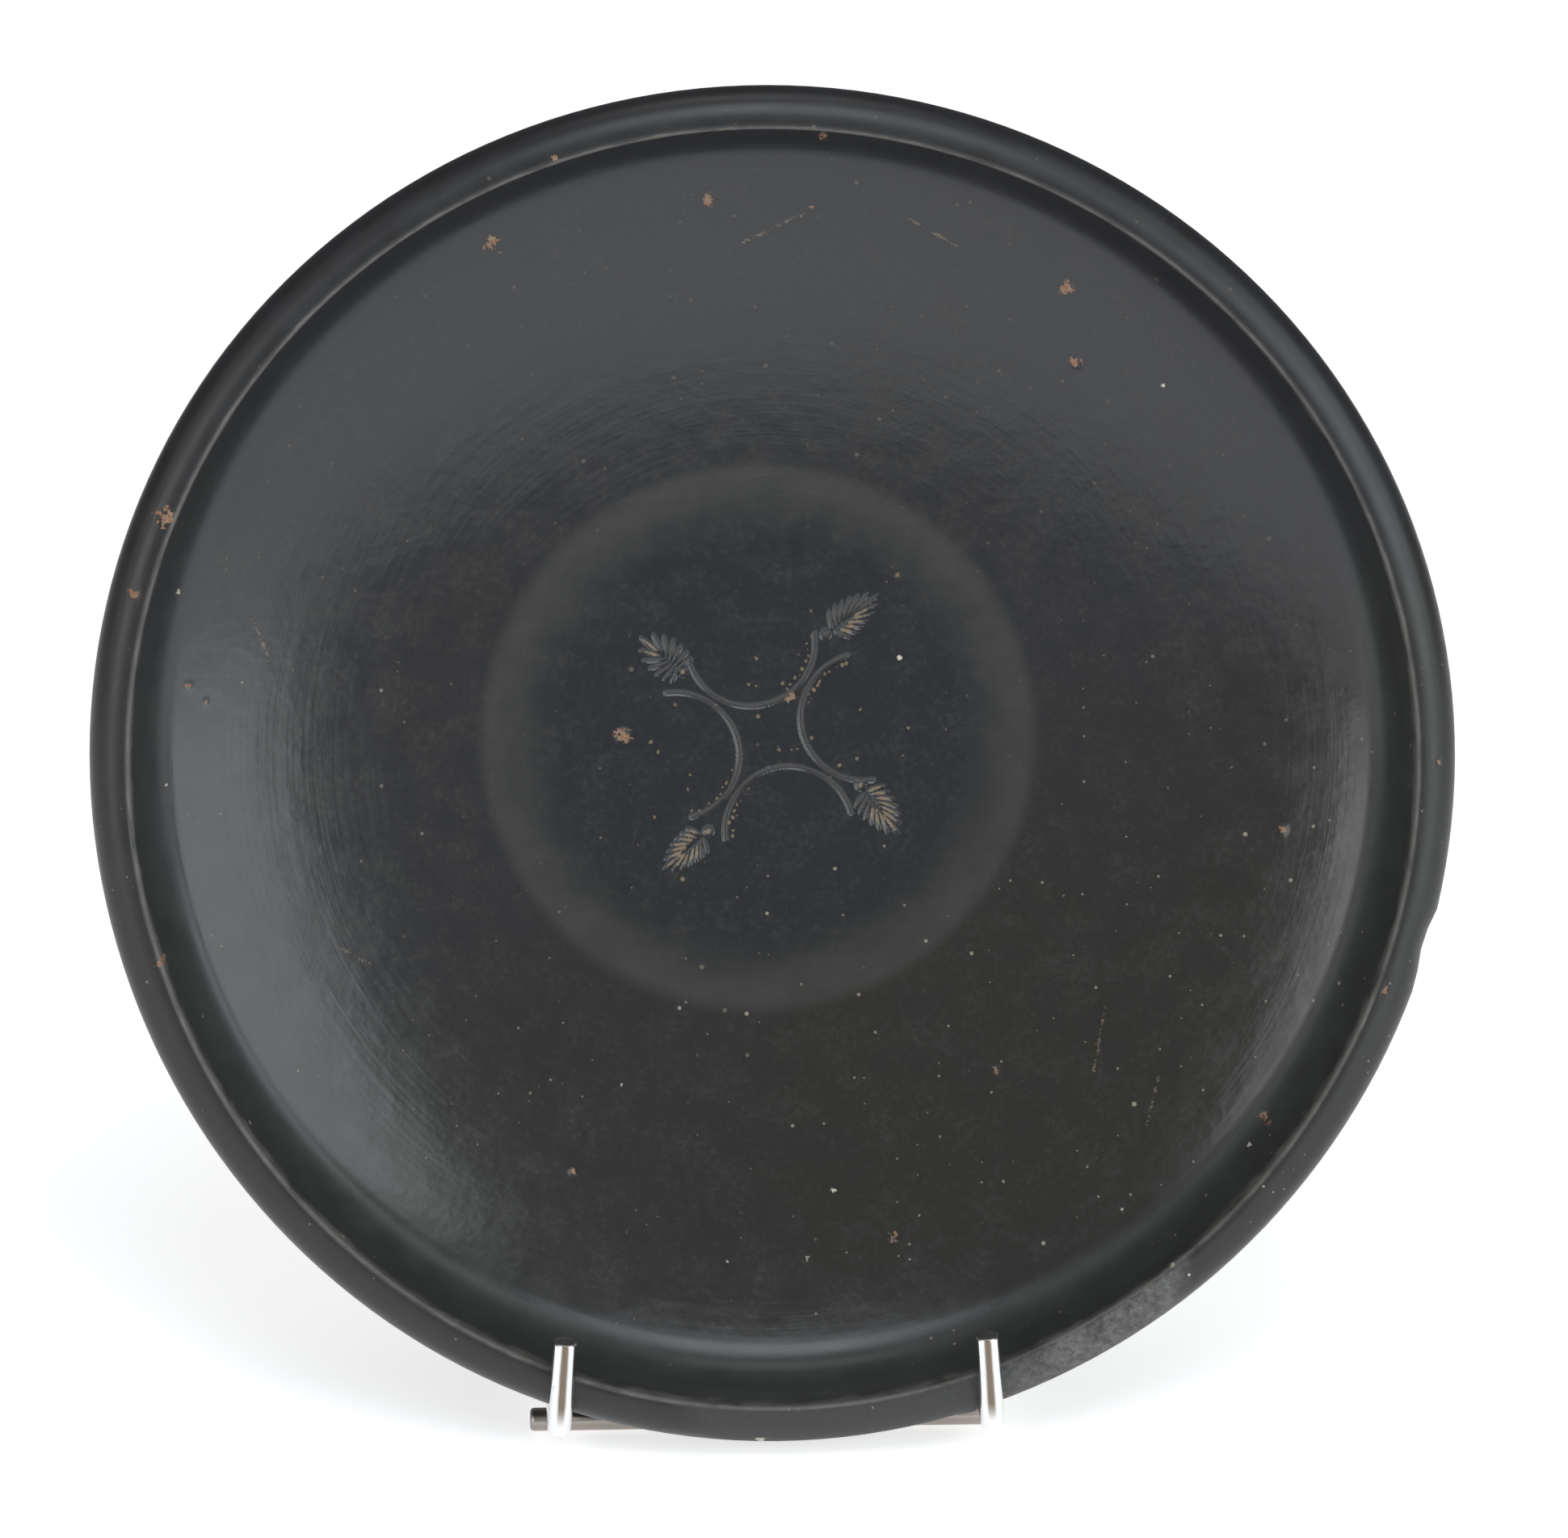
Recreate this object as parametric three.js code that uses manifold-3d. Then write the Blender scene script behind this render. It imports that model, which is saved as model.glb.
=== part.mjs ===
import * as THREE from 'three';
import { mergeVertices, toCreasedNormals } from 'three/addons/utils/BufferGeometryUtils.js';
import Module from 'manifold-3d';

// A black-glazed dish with a rolled rim, leaning back in a chromed wire stand.
// Millimetres, +Z up, the dish faces -Y, origin on the table under the middle of the whole.

const wasm = await Module();
wasm.setup();

const DEGREE = Math.PI / 180;
const TOUCH_GAP = 0.3;

// The dish, in its own section: r from the axis, h up from the plane its foot rests on.
const PLATE_LEAN = 12.5 * DEGREE;
const PLATE_X = -0.17;
const PLATE_SEGMENTS = 72;
const FLOOR_H = 12;
const FLOOR_EDGE_R = 99;
const FLOOR_DISH = 0.0011;
const FLOOR_LIFT = 2.7e-7;
const RIM_TOP_H = 40;
const ROLL_R = 109.2;
const ROLL_HALF_WIDTH = 5.8;
const ROLL_HALF_HEIGHT = 5.1;
const ROLL_H = RIM_TOP_H - ROLL_HALF_HEIGHT;
const CREST_RADIUS = 1.1;
const FOOT_OUTER_R = 68;
const FOOT_INNER_R = 60;
const FOOT_TOP_H = 11;
const FOOT_EDGE = 1.2;
const UNDERSIDE_H = 6;
const UNDERSIDE_CENTRE_H = 4.5;

// The rim is thrown by hand: slightly oval and slightly three-sided, and settled under a repair.
// Angles on the dish run counter-clockwise from its right side, seen from the front.
const OVAL = { lobes: 2, size: 0.51, phase: 226 * DEGREE };
const THREE_SIDED = { lobes: 3, size: 0.4, phase: 64 * DEGREE };
const REPAIR = { middle: 298 * DEGREE, half: 10 * DEGREE, settle: 0.7 };
const CHIP = { angle: 344 * DEGREE, radius: 6, depth: 0.9, flatten: 0.55 };

// The stamped ornament on the floor: four palmettes joined by four cut arcs.
const ORNAMENT_X = 0.4;
const ORNAMENT_UP = 1.3;
const ARC_COUNT = 4;
const ARC_FIRST_ANGLE = 11 * DEGREE;
const ARC_CENTRE_DISTANCE = 16.4;
const ARC_RADIUS = 10.9;
const ARC_HALF_SWEEP = 88 * DEGREE;
const GROOVE_RADIUS = 0.55;
const GROOVE_RISE = 0.2;
const PALMETTE_FIRST_ANGLE = 52.5 * DEGREE;
const PALMETTE_HEART_DISTANCE = 20.4;
const PETALS = 7;
const PETAL_FAN = 105 * DEGREE;
const PETAL_LONG = 6.4;
const PETAL_SHORT = 3.2;
const PETAL_START = 1.3;
const PETAL_HALF_WIDTH = 0.5;
const STAMP_DEPTH = 0.45;
const HEART_RADIUS = 0.9;

// The stand: two bent side wires on two cross rods, its middle a little left of the dish's.
const STAND_X = -0.6;
const WIRE_RADIUS = 2;
const WIRE_SIDES = 10;
const ROD_SIDES = 12;
const WIRE_HALF_SPACING = 36.7;
const WIRE_LEAN_IN = 3.8 * DEGREE;
const LEDGE_Z = 3 * WIRE_RADIUS + TOUCH_GAP;
const HOOK_Y = -72.8;
const HOOK_TIP_Z = 24;
const HOOK_BEND = 5;
const LEDGE_BEND = 8;
const TOP_BEND = 8;
const TOE_BEND = 6;
const TOP_CORNER_UP = 90;
const LEG_ANGLE = 14 * DEGREE;
const TOE_LENGTH = 15;
const BEND_STEP = 18 * DEGREE;
const FRONT_ROD_BACK = 16.2;
const FRONT_ROD_LEFT = -41.4;
const FRONT_ROD_RIGHT = 37.6;
const REAR_ROD_BACK = 8;
const REAR_ROD_HALF = 40;

const glaze = new THREE.MeshStandardMaterial({ color: 0x1d1c1a, roughness: 0.3, metalness: 0 });
const chrome = new THREE.MeshStandardMaterial({ color: 0xd4d6d8, roughness: 0.15, metalness: 1 });

// The floor is nearly flat in the middle and turns up towards its edge.
function floorHeight(r) {
  return FLOOR_H + (FLOOR_DISH * r ** 2) / 2 + (FLOOR_LIFT * r ** 4) / 4;
}

// The section of the dish, from the middle of its underside round the rim to the middle of its floor.
function plateSection() {
  const point = (r, h) => new THREE.Vector2(r, h);
  const outside = new THREE.CubicBezierCurve(
    point(FOOT_OUTER_R - 0.5, FOOT_TOP_H),
    point(86, 14.5),
    point(103.5, 20.5),
    point(ROLL_R - 0.6, ROLL_H - ROLL_HALF_HEIGHT),
  );
  const roll = new THREE.EllipseCurve(
    ROLL_R, ROLL_H, ROLL_HALF_WIDTH, ROLL_HALF_HEIGHT, -80 * DEGREE, 90 * DEGREE, false,
  );
  const crest = new THREE.EllipseCurve(
    ROLL_R, RIM_TOP_H - CREST_RADIUS, CREST_RADIUS, CREST_RADIUS, 90 * DEGREE, 180 * DEGREE, false,
  );
  const wallFoot = floorHeight(FLOOR_EDGE_R);
  const wall = new THREE.CubicBezierCurve(
    point(ROLL_R - CREST_RADIUS, RIM_TOP_H - CREST_RADIUS),
    point(106.3, 33),
    point(103.2, wallFoot + 1.55),
    point(FLOOR_EDGE_R, wallFoot),
  );
  const section = [
    point(0, UNDERSIDE_CENTRE_H),
    point(FOOT_INNER_R - 4, UNDERSIDE_H),
    point(FOOT_INNER_R - 1.5, UNDERSIDE_H - 0.8),
    point(FOOT_INNER_R, FOOT_EDGE),
    point(FOOT_INNER_R + FOOT_EDGE, 0),
    point(FOOT_OUTER_R - FOOT_EDGE, 0),
    point(FOOT_OUTER_R, FOOT_EDGE),
    point(FOOT_OUTER_R - 1, FOOT_TOP_H - 2),
    ...outside.getPoints(5),
    ...roll.getPoints(9),
    ...crest.getPoints(3).slice(1),
    ...wall.getPoints(7).slice(1),
  ];
  const floorSteps = 6;
  for (let step = floorSteps - 1; step >= 0; step -= 1) {
    const r = (FLOOR_EDGE_R * step) / floorSteps;
    section.push(point(r, floorHeight(r)));
  }
  return section;
}

function lobe(wave, angle) {
  return wave.size * Math.cos(wave.lobes * angle - wave.phase);
}

// Moves the turned dish's points out of round, most at the rim, and settles the repaired stretch.
function throwByHand(geometry) {
  const position = geometry.attributes.position;
  for (let i = 0; i < position.count; i += 1) {
    const x = position.getX(i);
    const up = -position.getZ(i);
    const r = Math.hypot(x, up);
    const angle = (Math.atan2(up, x) + 2 * Math.PI) % (2 * Math.PI);
    const share = Math.min(r / ROLL_R, 1) ** 2;
    const scale = r > 0 ? 1 + (share * (lobe(OVAL, angle) + lobe(THREE_SIDED, angle))) / r : 1;
    const h = position.getY(i);
    const along = Math.abs(angle - REPAIR.middle) / REPAIR.half;
    const settled = h > ROLL_H && along < 1 ? REPAIR.settle * Math.cos(along * Math.PI / 2) ** 2 : 0;
    const sink = settled * Math.min((h - ROLL_H) / ROLL_HALF_HEIGHT, 1);
    position.setXYZ(i, x * scale, h - sink, -up * scale);
  }
  return geometry;
}

function toSolid(geometry) {
  const bare = geometry.clone();
  bare.deleteAttribute('normal');
  bare.deleteAttribute('uv');
  const merged = mergeVertices(bare, 1e-4);
  const corners = [];
  const index = merged.index.array;
  for (let i = 0; i < index.length; i += 3) {
    const [a, b, c] = [index[i], index[i + 1], index[i + 2]];
    if (a !== b && b !== c && c !== a) {
      corners.push(a, b, c);
    }
  }
  const mesh = new wasm.Mesh({
    numProp: 3,
    vertProperties: new Float32Array(merged.attributes.position.array),
    triVerts: new Uint32Array(corners),
  });
  return new wasm.Manifold(mesh);
}

function toGeometry(solid) {
  const mesh = solid.getMesh();
  const geometry = new THREE.BufferGeometry();
  geometry.setAttribute('position', new THREE.BufferAttribute(mesh.vertProperties, 3));
  geometry.setIndex(new THREE.BufferAttribute(mesh.triVerts, 1));
  return geometry;
}

// A point of the floor given right and up on the dish, in the turned solid's own axes.
function onFloor(right, up, rise) {
  return new THREE.Vector3(right, floorHeight(Math.hypot(right, up)) + rise, -up);
}

class FloorArc extends THREE.Curve {
  constructor(middleAngle) {
    super();
    this.middleAngle = middleAngle;
  }

  getPoint(t) {
    const right = ORNAMENT_X + ARC_CENTRE_DISTANCE * Math.cos(this.middleAngle);
    const up = ORNAMENT_UP + ARC_CENTRE_DISTANCE * Math.sin(this.middleAngle);
    const angle = this.middleAngle + Math.PI + ARC_HALF_SWEEP * (2 * t - 1);
    return onFloor(right + ARC_RADIUS * Math.cos(angle), up + ARC_RADIUS * Math.sin(angle), GROOVE_RISE);
  }
}

function grooveCutter(middleAngle) {
  const round = new THREE.Shape().absarc(0, 0, GROOVE_RADIUS, 0, 2 * Math.PI);
  const path = new FloorArc(middleAngle);
  const options = { extrudePath: path, steps: 12, curveSegments: 3, bevelEnabled: false };
  return new THREE.ExtrudeGeometry(round, options);
}

// One leaf of a stamp: a long lens lying on the floor, pointing along the given angle.
function petalCutter(right, up, angle, start, length) {
  const lens = new THREE.SphereGeometry(1, 6, 4);
  lens.rotateZ(Math.PI / 2);
  lens.scale(length / 2, STAMP_DEPTH, PETAL_HALF_WIDTH);
  lens.rotateY(angle);
  const reach = start + length / 2;
  const middle = onFloor(right + reach * Math.cos(angle), up + reach * Math.sin(angle), 0);
  lens.translate(middle.x, middle.y, middle.z);
  return lens;
}

function palmetteCutters(outward) {
  const right = ORNAMENT_X + PALMETTE_HEART_DISTANCE * Math.cos(outward);
  const up = ORNAMENT_UP + PALMETTE_HEART_DISTANCE * Math.sin(outward);
  const heart = new THREE.SphereGeometry(HEART_RADIUS, 6, 4);
  heart.scale(1, STAMP_DEPTH / HEART_RADIUS, 1);
  const middle = onFloor(right, up, 0);
  heart.translate(middle.x, middle.y, middle.z);
  const cutters = [heart];
  for (let petal = 0; petal < PETALS; petal += 1) {
    const turn = PETAL_FAN * ((2 * petal) / (PETALS - 1) - 1);
    const length = PETAL_SHORT + (PETAL_LONG - PETAL_SHORT) * Math.cos(turn / 2) ** 4;
    cutters.push(petalCutter(right, up, outward + turn, PETAL_START, length));
  }
  return cutters;
}

function chipCutter() {
  const ball = new THREE.IcosahedronGeometry(CHIP.radius, 1);
  ball.scale(1, CHIP.flatten, 1);
  const rimR = ROLL_R + ROLL_HALF_WIDTH + lobe(OVAL, CHIP.angle) + lobe(THREE_SIDED, CHIP.angle);
  const reach = rimR + CHIP.radius - CHIP.depth;
  ball.translate(reach * Math.cos(CHIP.angle), ROLL_H + 1, -reach * Math.sin(CHIP.angle));
  return ball;
}

function plateGeometry() {
  const turned = throwByHand(new THREE.LatheGeometry(plateSection(), PLATE_SEGMENTS));
  let solid = toSolid(turned);
  const cutters = [chipCutter()];
  for (let quarter = 0; quarter < ARC_COUNT; quarter += 1) {
    const turn = (quarter * 2 * Math.PI) / ARC_COUNT;
    cutters.push(grooveCutter(ARC_FIRST_ANGLE + turn));
    cutters.push(...palmetteCutters(PALMETTE_FIRST_ANGLE + turn));
  }
  for (const cutter of cutters) {
    solid = solid.subtract(toSolid(cutter));
  }
  return toGeometry(solid);
}

// Where the middle of the foot's resting plane comes: the rim sits on the ledge wires behind the hooks.
function seatedFootCentre() {
  const rimR = ROLL_R + ROLL_HALF_WIDTH + OVAL.size;
  const below = Math.sqrt(rimR ** 2 - WIRE_HALF_SPACING ** 2);
  const ledgeTop = LEDGE_Z + WIRE_RADIUS + TOUCH_GAP;
  const z = ledgeTop + below * Math.cos(PLATE_LEAN) - (ROLL_H - 1) * Math.sin(PLATE_LEAN);
  const crestBelow = Math.sqrt((ROLL_R + OVAL.size) ** 2 - WIRE_HALF_SPACING ** 2);
  const hookBack = HOOK_Y + WIRE_RADIUS + TOUCH_GAP;
  const y = hookBack + crestBelow * Math.sin(PLATE_LEAN) + RIM_TOP_H * Math.cos(PLATE_LEAN);
  return { y, z };
}

// A wire of straight runs with a round bend at each inner corner, its stations close only in the bends.
class BentWire extends THREE.Curve {
  constructor(corners, bends) {
    super();
    this.stations = [corners[0]];
    for (let i = 1; i < corners.length - 1; i += 1) {
      this.addBend(corners[i - 1], corners[i], corners[i + 1], bends[i - 1]);
    }
    this.stations.push(corners[corners.length - 1]);
  }

  addBend(before, corner, after, radius) {
    const inward = corner.clone().sub(before).normalize();
    const onward = after.clone().sub(corner).normalize();
    const turn = inward.angleTo(onward);
    const reach = radius * Math.tan(turn / 2);
    const start = corner.clone().addScaledVector(inward, -reach);
    const side = onward.clone().addScaledVector(inward, -onward.dot(inward)).normalize();
    const steps = Math.ceil(turn / BEND_STEP);
    for (let step = 0; step <= steps; step += 1) {
      const angle = (turn * step) / steps;
      const station = start.clone().addScaledVector(inward, radius * Math.sin(angle));
      this.stations.push(station.addScaledVector(side, radius * (1 - Math.cos(angle))));
    }
  }

  get steps() {
    return this.stations.length - 1;
  }

  getPointAt(u) {
    return this.stations[Math.round(u * this.steps)].clone();
  }

  getTangentAt(u, target = new THREE.Vector3()) {
    const here = Math.round(u * this.steps);
    const before = this.stations[Math.max(here - 1, 0)];
    const after = this.stations[Math.min(here + 1, this.steps)];
    const arriving = this.stations[here].clone().sub(before).normalize();
    const leaving = after.clone().sub(this.stations[here]).normalize();
    return target.copy(arriving.add(leaving)).normalize();
  }
}

function sideWireGeometry(side, foot) {
  const place = (y, z) => {
    const x = WIRE_HALF_SPACING - (z - LEDGE_Z) * Math.tan(WIRE_LEAN_IN);
    return new THREE.Vector3(STAND_X + side * x, y, z);
  };
  const standOff = WIRE_RADIUS + TOUCH_GAP;
  const restY = foot.y + standOff * Math.cos(PLATE_LEAN);
  const restZ = foot.z - standOff * Math.sin(PLATE_LEAN);
  const backY = restY - (restZ - LEDGE_Z) * Math.tan(PLATE_LEAN);
  const topY = restY + TOP_CORNER_UP * Math.sin(PLATE_LEAN);
  const topZ = restZ + TOP_CORNER_UP * Math.cos(PLATE_LEAN);
  const toeY = topY + (topZ - LEDGE_Z) * Math.tan(LEG_ANGLE);
  const corners = [
    place(HOOK_Y, HOOK_TIP_Z),
    place(HOOK_Y, LEDGE_Z),
    place(backY, LEDGE_Z),
    place(topY, topZ),
    place(toeY, LEDGE_Z),
    place(toeY + TOE_LENGTH, LEDGE_Z),
  ];
  const path = new BentWire(corners, [HOOK_BEND, LEDGE_BEND, TOP_BEND, TOE_BEND]);
  const round = new THREE.Shape().absarc(0, 0, WIRE_RADIUS, 0, 2 * Math.PI);
  const options = {
    extrudePath: path,
    steps: path.steps,
    curveSegments: WIRE_SIDES / 2,
    bevelEnabled: false,
  };
  return { geometry: new THREE.ExtrudeGeometry(round, options), toeY };
}

// A straight rod along X with a flat of its many-sided section on the table.
function rodGeometry(left, right, y) {
  const cornerRadius = WIRE_RADIUS / Math.cos(Math.PI / ROD_SIDES);
  const rod = new THREE.CylinderGeometry(cornerRadius, cornerRadius, right - left, ROD_SIDES);
  rod.rotateY(Math.PI / ROD_SIDES);
  rod.rotateZ(Math.PI / 2);
  rod.translate(STAND_X + (left + right) / 2, y, WIRE_RADIUS);
  return rod;
}

function addPiece(group, name, geometry, material) {
  const piece = new THREE.Mesh(toCreasedNormals(geometry, 35 * DEGREE), material);
  piece.name = name;
  group.add(piece);
  return piece;
}

const foot = seatedFootCentre();
const part = new THREE.Group();
part.name = 'black_glazed_plate';

const plate = addPiece(part, 'plate', plateGeometry(), glaze);
plate.rotation.x = Math.PI - PLATE_LEAN;
plate.position.set(PLATE_X, foot.y, foot.z);

const left = sideWireGeometry(-1, foot);
const right = sideWireGeometry(1, foot);
addPiece(part, 'stand_left_wire', left.geometry, chrome);
addPiece(part, 'stand_right_wire', right.geometry, chrome);
const frontRod = rodGeometry(FRONT_ROD_LEFT, FRONT_ROD_RIGHT, HOOK_Y + FRONT_ROD_BACK);
const rearRod = rodGeometry(-REAR_ROD_HALF, REAR_ROD_HALF, left.toeY + REAR_ROD_BACK);
addPiece(part, 'stand_front_rod', frontRod, chrome);
addPiece(part, 'stand_rear_rod', rearRod, chrome);

export default part;
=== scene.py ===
# %% [markdown]
# # A black-glazed plate standing in a wire stand
# The plate was thrown on a wheel, dipped in a black slip and fired, so it is a round of clay with a glossy
# dark skin. Four small palmettes are stamped round the middle, and incised arcs join them. A chromed wire
# stand holds it up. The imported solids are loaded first, because they fix where everything sits. All that
# follows is drawn in the same frame, in metres, with the floor at zero and the plate facing the -Y side.

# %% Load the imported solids
import math

import bpy
import numpy as np
from mathutils import Matrix, Vector


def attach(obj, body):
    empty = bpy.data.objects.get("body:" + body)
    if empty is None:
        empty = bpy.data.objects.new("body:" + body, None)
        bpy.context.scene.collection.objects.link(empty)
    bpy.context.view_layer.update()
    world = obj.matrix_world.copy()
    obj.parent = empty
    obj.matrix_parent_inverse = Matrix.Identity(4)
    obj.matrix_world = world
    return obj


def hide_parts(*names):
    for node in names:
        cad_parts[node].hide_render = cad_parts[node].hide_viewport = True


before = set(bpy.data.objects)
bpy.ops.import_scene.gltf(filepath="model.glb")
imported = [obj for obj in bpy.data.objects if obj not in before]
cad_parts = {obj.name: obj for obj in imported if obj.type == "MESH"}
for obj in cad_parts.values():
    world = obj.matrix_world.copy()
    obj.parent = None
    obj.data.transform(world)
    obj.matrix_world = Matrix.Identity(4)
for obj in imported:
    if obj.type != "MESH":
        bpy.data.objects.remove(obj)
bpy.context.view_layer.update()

MM = 0.001
print("solids loaded:", sorted(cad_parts))

# %% [markdown]
# ## Where the plate sits
# The plate leans back in the stand. Its rim's lowest part stands on the two ledge wires and its crest
# touches the two hooks, so its place follows from the wire's size, the rim's size and the angle of lean.
# Working it out once, as a frame with a middle, an upward and an outward direction, lets every later step
# think in plain plate terms: so far right, so far up, and so high off the foot.

# %% Work out the plate's seat
PLATE_LEAN = math.radians(12.5)
PLATE_X = -0.17 * MM
WIRE_RADIUS = 2 * MM
TOUCH_GAP = 0.3 * MM
HALF_SPACING = 36.7 * MM
LEDGE_Z = 6.3 * MM
HOOK_Y = -72.8 * MM

ROLL_R = 109.2 * MM
ROLL_HALF_WIDTH = 5.8 * MM
ROLL_HALF_HEIGHT = 5.1 * MM
ROLL_H = 34.9 * MM
RIM_TOP_H = 40 * MM
OVAL_SIZE = 0.51 * MM

STAND_OFF = WIRE_RADIUS + TOUCH_GAP
PLATE_UP = Vector((0, math.sin(PLATE_LEAN), math.cos(PLATE_LEAN)))
PLATE_OUT = Vector((0, -math.cos(PLATE_LEAN), math.sin(PLATE_LEAN)))


def seated_foot_centre():
    """The middle of the foot's resting plane, with the rim down on the ledges and against the hooks."""
    rim_r = ROLL_R + ROLL_HALF_WIDTH + OVAL_SIZE
    below = math.sqrt(rim_r**2 - HALF_SPACING**2)
    crest_below = math.sqrt((ROLL_R + OVAL_SIZE) ** 2 - HALF_SPACING**2)
    z = LEDGE_Z + STAND_OFF + below * PLATE_UP.z - (ROLL_H - 1 * MM) * PLATE_OUT.z
    y = HOOK_Y + STAND_OFF + crest_below * PLATE_UP.y - RIM_TOP_H * PLATE_OUT.y
    return Vector((PLATE_X, y, z))


FOOT_CENTRE = seated_foot_centre()
SEAT = Matrix.Translation(FOOT_CENTRE) @ Matrix.Rotation(math.pi / 2 - PLATE_LEAN, 4, "X")
print("foot centre at", [round(v, 4) for v in FOOT_CENTRE])

# %% [markdown]
# ## The camera
# The photograph looks down on the plate from a long way off, so its lines hardly converge. The middle of
# the rim and its width in the photograph fix where the camera points and how long its lens is. Aiming the
# camera a little beside the rim's middle places the plate in the frame without any lens shift.

# %% Set up the camera
PHOTO_WIDTH = 1941
PHOTO_HEIGHT = 1904
RIM_MIDDLE_X_PX = 956.4
RIM_MIDDLE_Y_PX = 949.7
PX_PER_M = 7375
CAMERA_DISTANCE = 2.0
CAMERA_AZIMUTH = math.radians(-2)
CAMERA_ELEVATION = math.radians(22)
SENSOR_WIDTH_MM = 36

camera_back = Vector((
    math.sin(CAMERA_AZIMUTH) * math.cos(CAMERA_ELEVATION),
    -math.cos(CAMERA_AZIMUTH) * math.cos(CAMERA_ELEVATION),
    math.sin(CAMERA_ELEVATION),
))
camera_right = Vector((math.cos(CAMERA_AZIMUTH), math.sin(CAMERA_AZIMUTH), 0))
camera_up = camera_back.cross(camera_right)
rim_middle = FOOT_CENTRE + PLATE_OUT * ROLL_H
aim = rim_middle
aim = aim + camera_right * ((PHOTO_WIDTH / 2 - RIM_MIDDLE_X_PX) / PX_PER_M)
aim = aim + camera_up * ((RIM_MIDDLE_Y_PX - PHOTO_HEIGHT / 2) / PX_PER_M)

camera_data = bpy.data.cameras.new("photo_camera")
camera_data.sensor_width = SENSOR_WIDTH_MM
camera_data.lens = SENSOR_WIDTH_MM * PX_PER_M * CAMERA_DISTANCE / PHOTO_WIDTH
camera = bpy.data.objects.new("photo_camera", camera_data)
bpy.context.collection.objects.link(camera)
camera.matrix_world = Matrix.Translation(aim + camera_back * CAMERA_DISTANCE) @ Matrix((
    camera_right, camera_up, camera_back)).transposed().to_4x4()
bpy.context.scene.camera = camera
print("lens", round(camera_data.lens, 1), "mm")

# %% [markdown]
# ## The plate's section
# A thrown plate is a section turned about its axis. The section runs from the middle of the underside,
# round the ring foot, up the outside, over the rolled rim, down the inner wall and back along the shallow
# floor to the middle. It could be traced with a curve and the Screw modifier. Here it is drawn as a row of
# points, extruded one from the other and then spun, because a spin shows the turning itself and closes on
# the axis at both ends.

# %% Lay out the section's points
FLOOR_H = 12 * MM
FLOOR_EDGE_R = 100.5 * MM
FLOOR_DISH = 0.0011 / MM
FLOOR_LIFT = 2.7e-7 / MM**3
CREST_RADIUS = 1.1 * MM
FOOT_OUTER_R = 68 * MM
FOOT_INNER_R = 60 * MM
FOOT_EDGE = 1.2 * MM
FOOT_TOP_H = 11 * MM
UNDERSIDE_H = 6 * MM
UNDERSIDE_CENTRE_H = 4.5 * MM
STAMPED_R = 33 * MM
FINE_STEP = 1.0 * MM
FLOOR_STEP = 2.0 * MM
UNDERSIDE_R = 56 * MM
ROLL_START_IN = 0.6 * MM
# The free curves: where each starts and the two places it is pulled towards, by radius and height.
FOOT_INSIDE_START = (57.5 * MM, UNDERSIDE_H - 0.2 * MM)
FOOT_INSIDE_PULLS = ((59.5 * MM, 5.5 * MM), (59.8 * MM, 4 * MM))
FOOT_OUTSIDE = [(67.6 * MM, 5 * MM), (67 * MM, 8.5 * MM)]
OUTSIDE_START = (67.5 * MM, FOOT_TOP_H)
OUTSIDE_PULLS = ((86 * MM, 14.5 * MM), (105 * MM, 19.5 * MM))
WALL_PULL = (107.5 * MM, 31 * MM)
WALL_FOOT_PULL_R = 104.9 * MM
WALL_FOOT_PULL_UP = 1.7 * MM


def floor_height(r):
    """Height of the dished floor above the foot's resting plane."""
    return FLOOR_H + FLOOR_DISH * r**2 / 2 + FLOOR_LIFT * r**4 / 4


def swept(first, first_pull, last_pull, last, count):
    """Points along a curve that leaves first towards first_pull and reaches last from last_pull."""
    made = []
    for s in np.linspace(0, 1, count):
        weights = ((1 - s) ** 3, 3 * (1 - s) ** 2 * s, 3 * (1 - s) * s * s, s**3)
        corners = (first, first_pull, last_pull, last)
        made.append(tuple(sum(w * c[axis] for w, c in zip(weights, corners)) for axis in (0, 1)))
    return made


def around(centre, half_width, half_height, start_deg, end_deg, count):
    """Points round part of an oval."""
    angles = np.radians(np.linspace(start_deg, end_deg, count))
    return [(centre[0] + half_width * math.cos(a), centre[1] + half_height * math.sin(a)) for a in angles]


wall_foot = floor_height(FLOOR_EDGE_R)
wall_foot_pull = (WALL_FOOT_PULL_R, wall_foot + WALL_FOOT_PULL_UP)
roll_start = (ROLL_R - ROLL_START_IN, ROLL_H - ROLL_HALF_HEIGHT)
crest_inside = (ROLL_R - CREST_RADIUS, RIM_TOP_H - CREST_RADIUS)
underside_rise = UNDERSIDE_H - UNDERSIDE_CENTRE_H

section = [(r, UNDERSIDE_CENTRE_H + underside_rise * (r / UNDERSIDE_R) ** 2)
           for r in np.linspace(0, UNDERSIDE_R, 12)]
section += swept(FOOT_INSIDE_START, *FOOT_INSIDE_PULLS, (FOOT_INNER_R, FOOT_EDGE), 6)
section += around((FOOT_INNER_R + FOOT_EDGE, FOOT_EDGE), FOOT_EDGE, FOOT_EDGE, 200, 270, 4)
section += around((FOOT_OUTER_R - FOOT_EDGE, FOOT_EDGE), FOOT_EDGE, FOOT_EDGE, 270, 360, 5)
section += FOOT_OUTSIDE
section += swept(OUTSIDE_START, *OUTSIDE_PULLS, roll_start, 22)
section += around((ROLL_R, ROLL_H), ROLL_HALF_WIDTH, ROLL_HALF_HEIGHT, -80, 90, 26)[1:]
section += around((ROLL_R, RIM_TOP_H - CREST_RADIUS), CREST_RADIUS, CREST_RADIUS, 90, 180, 6)[1:]
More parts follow.
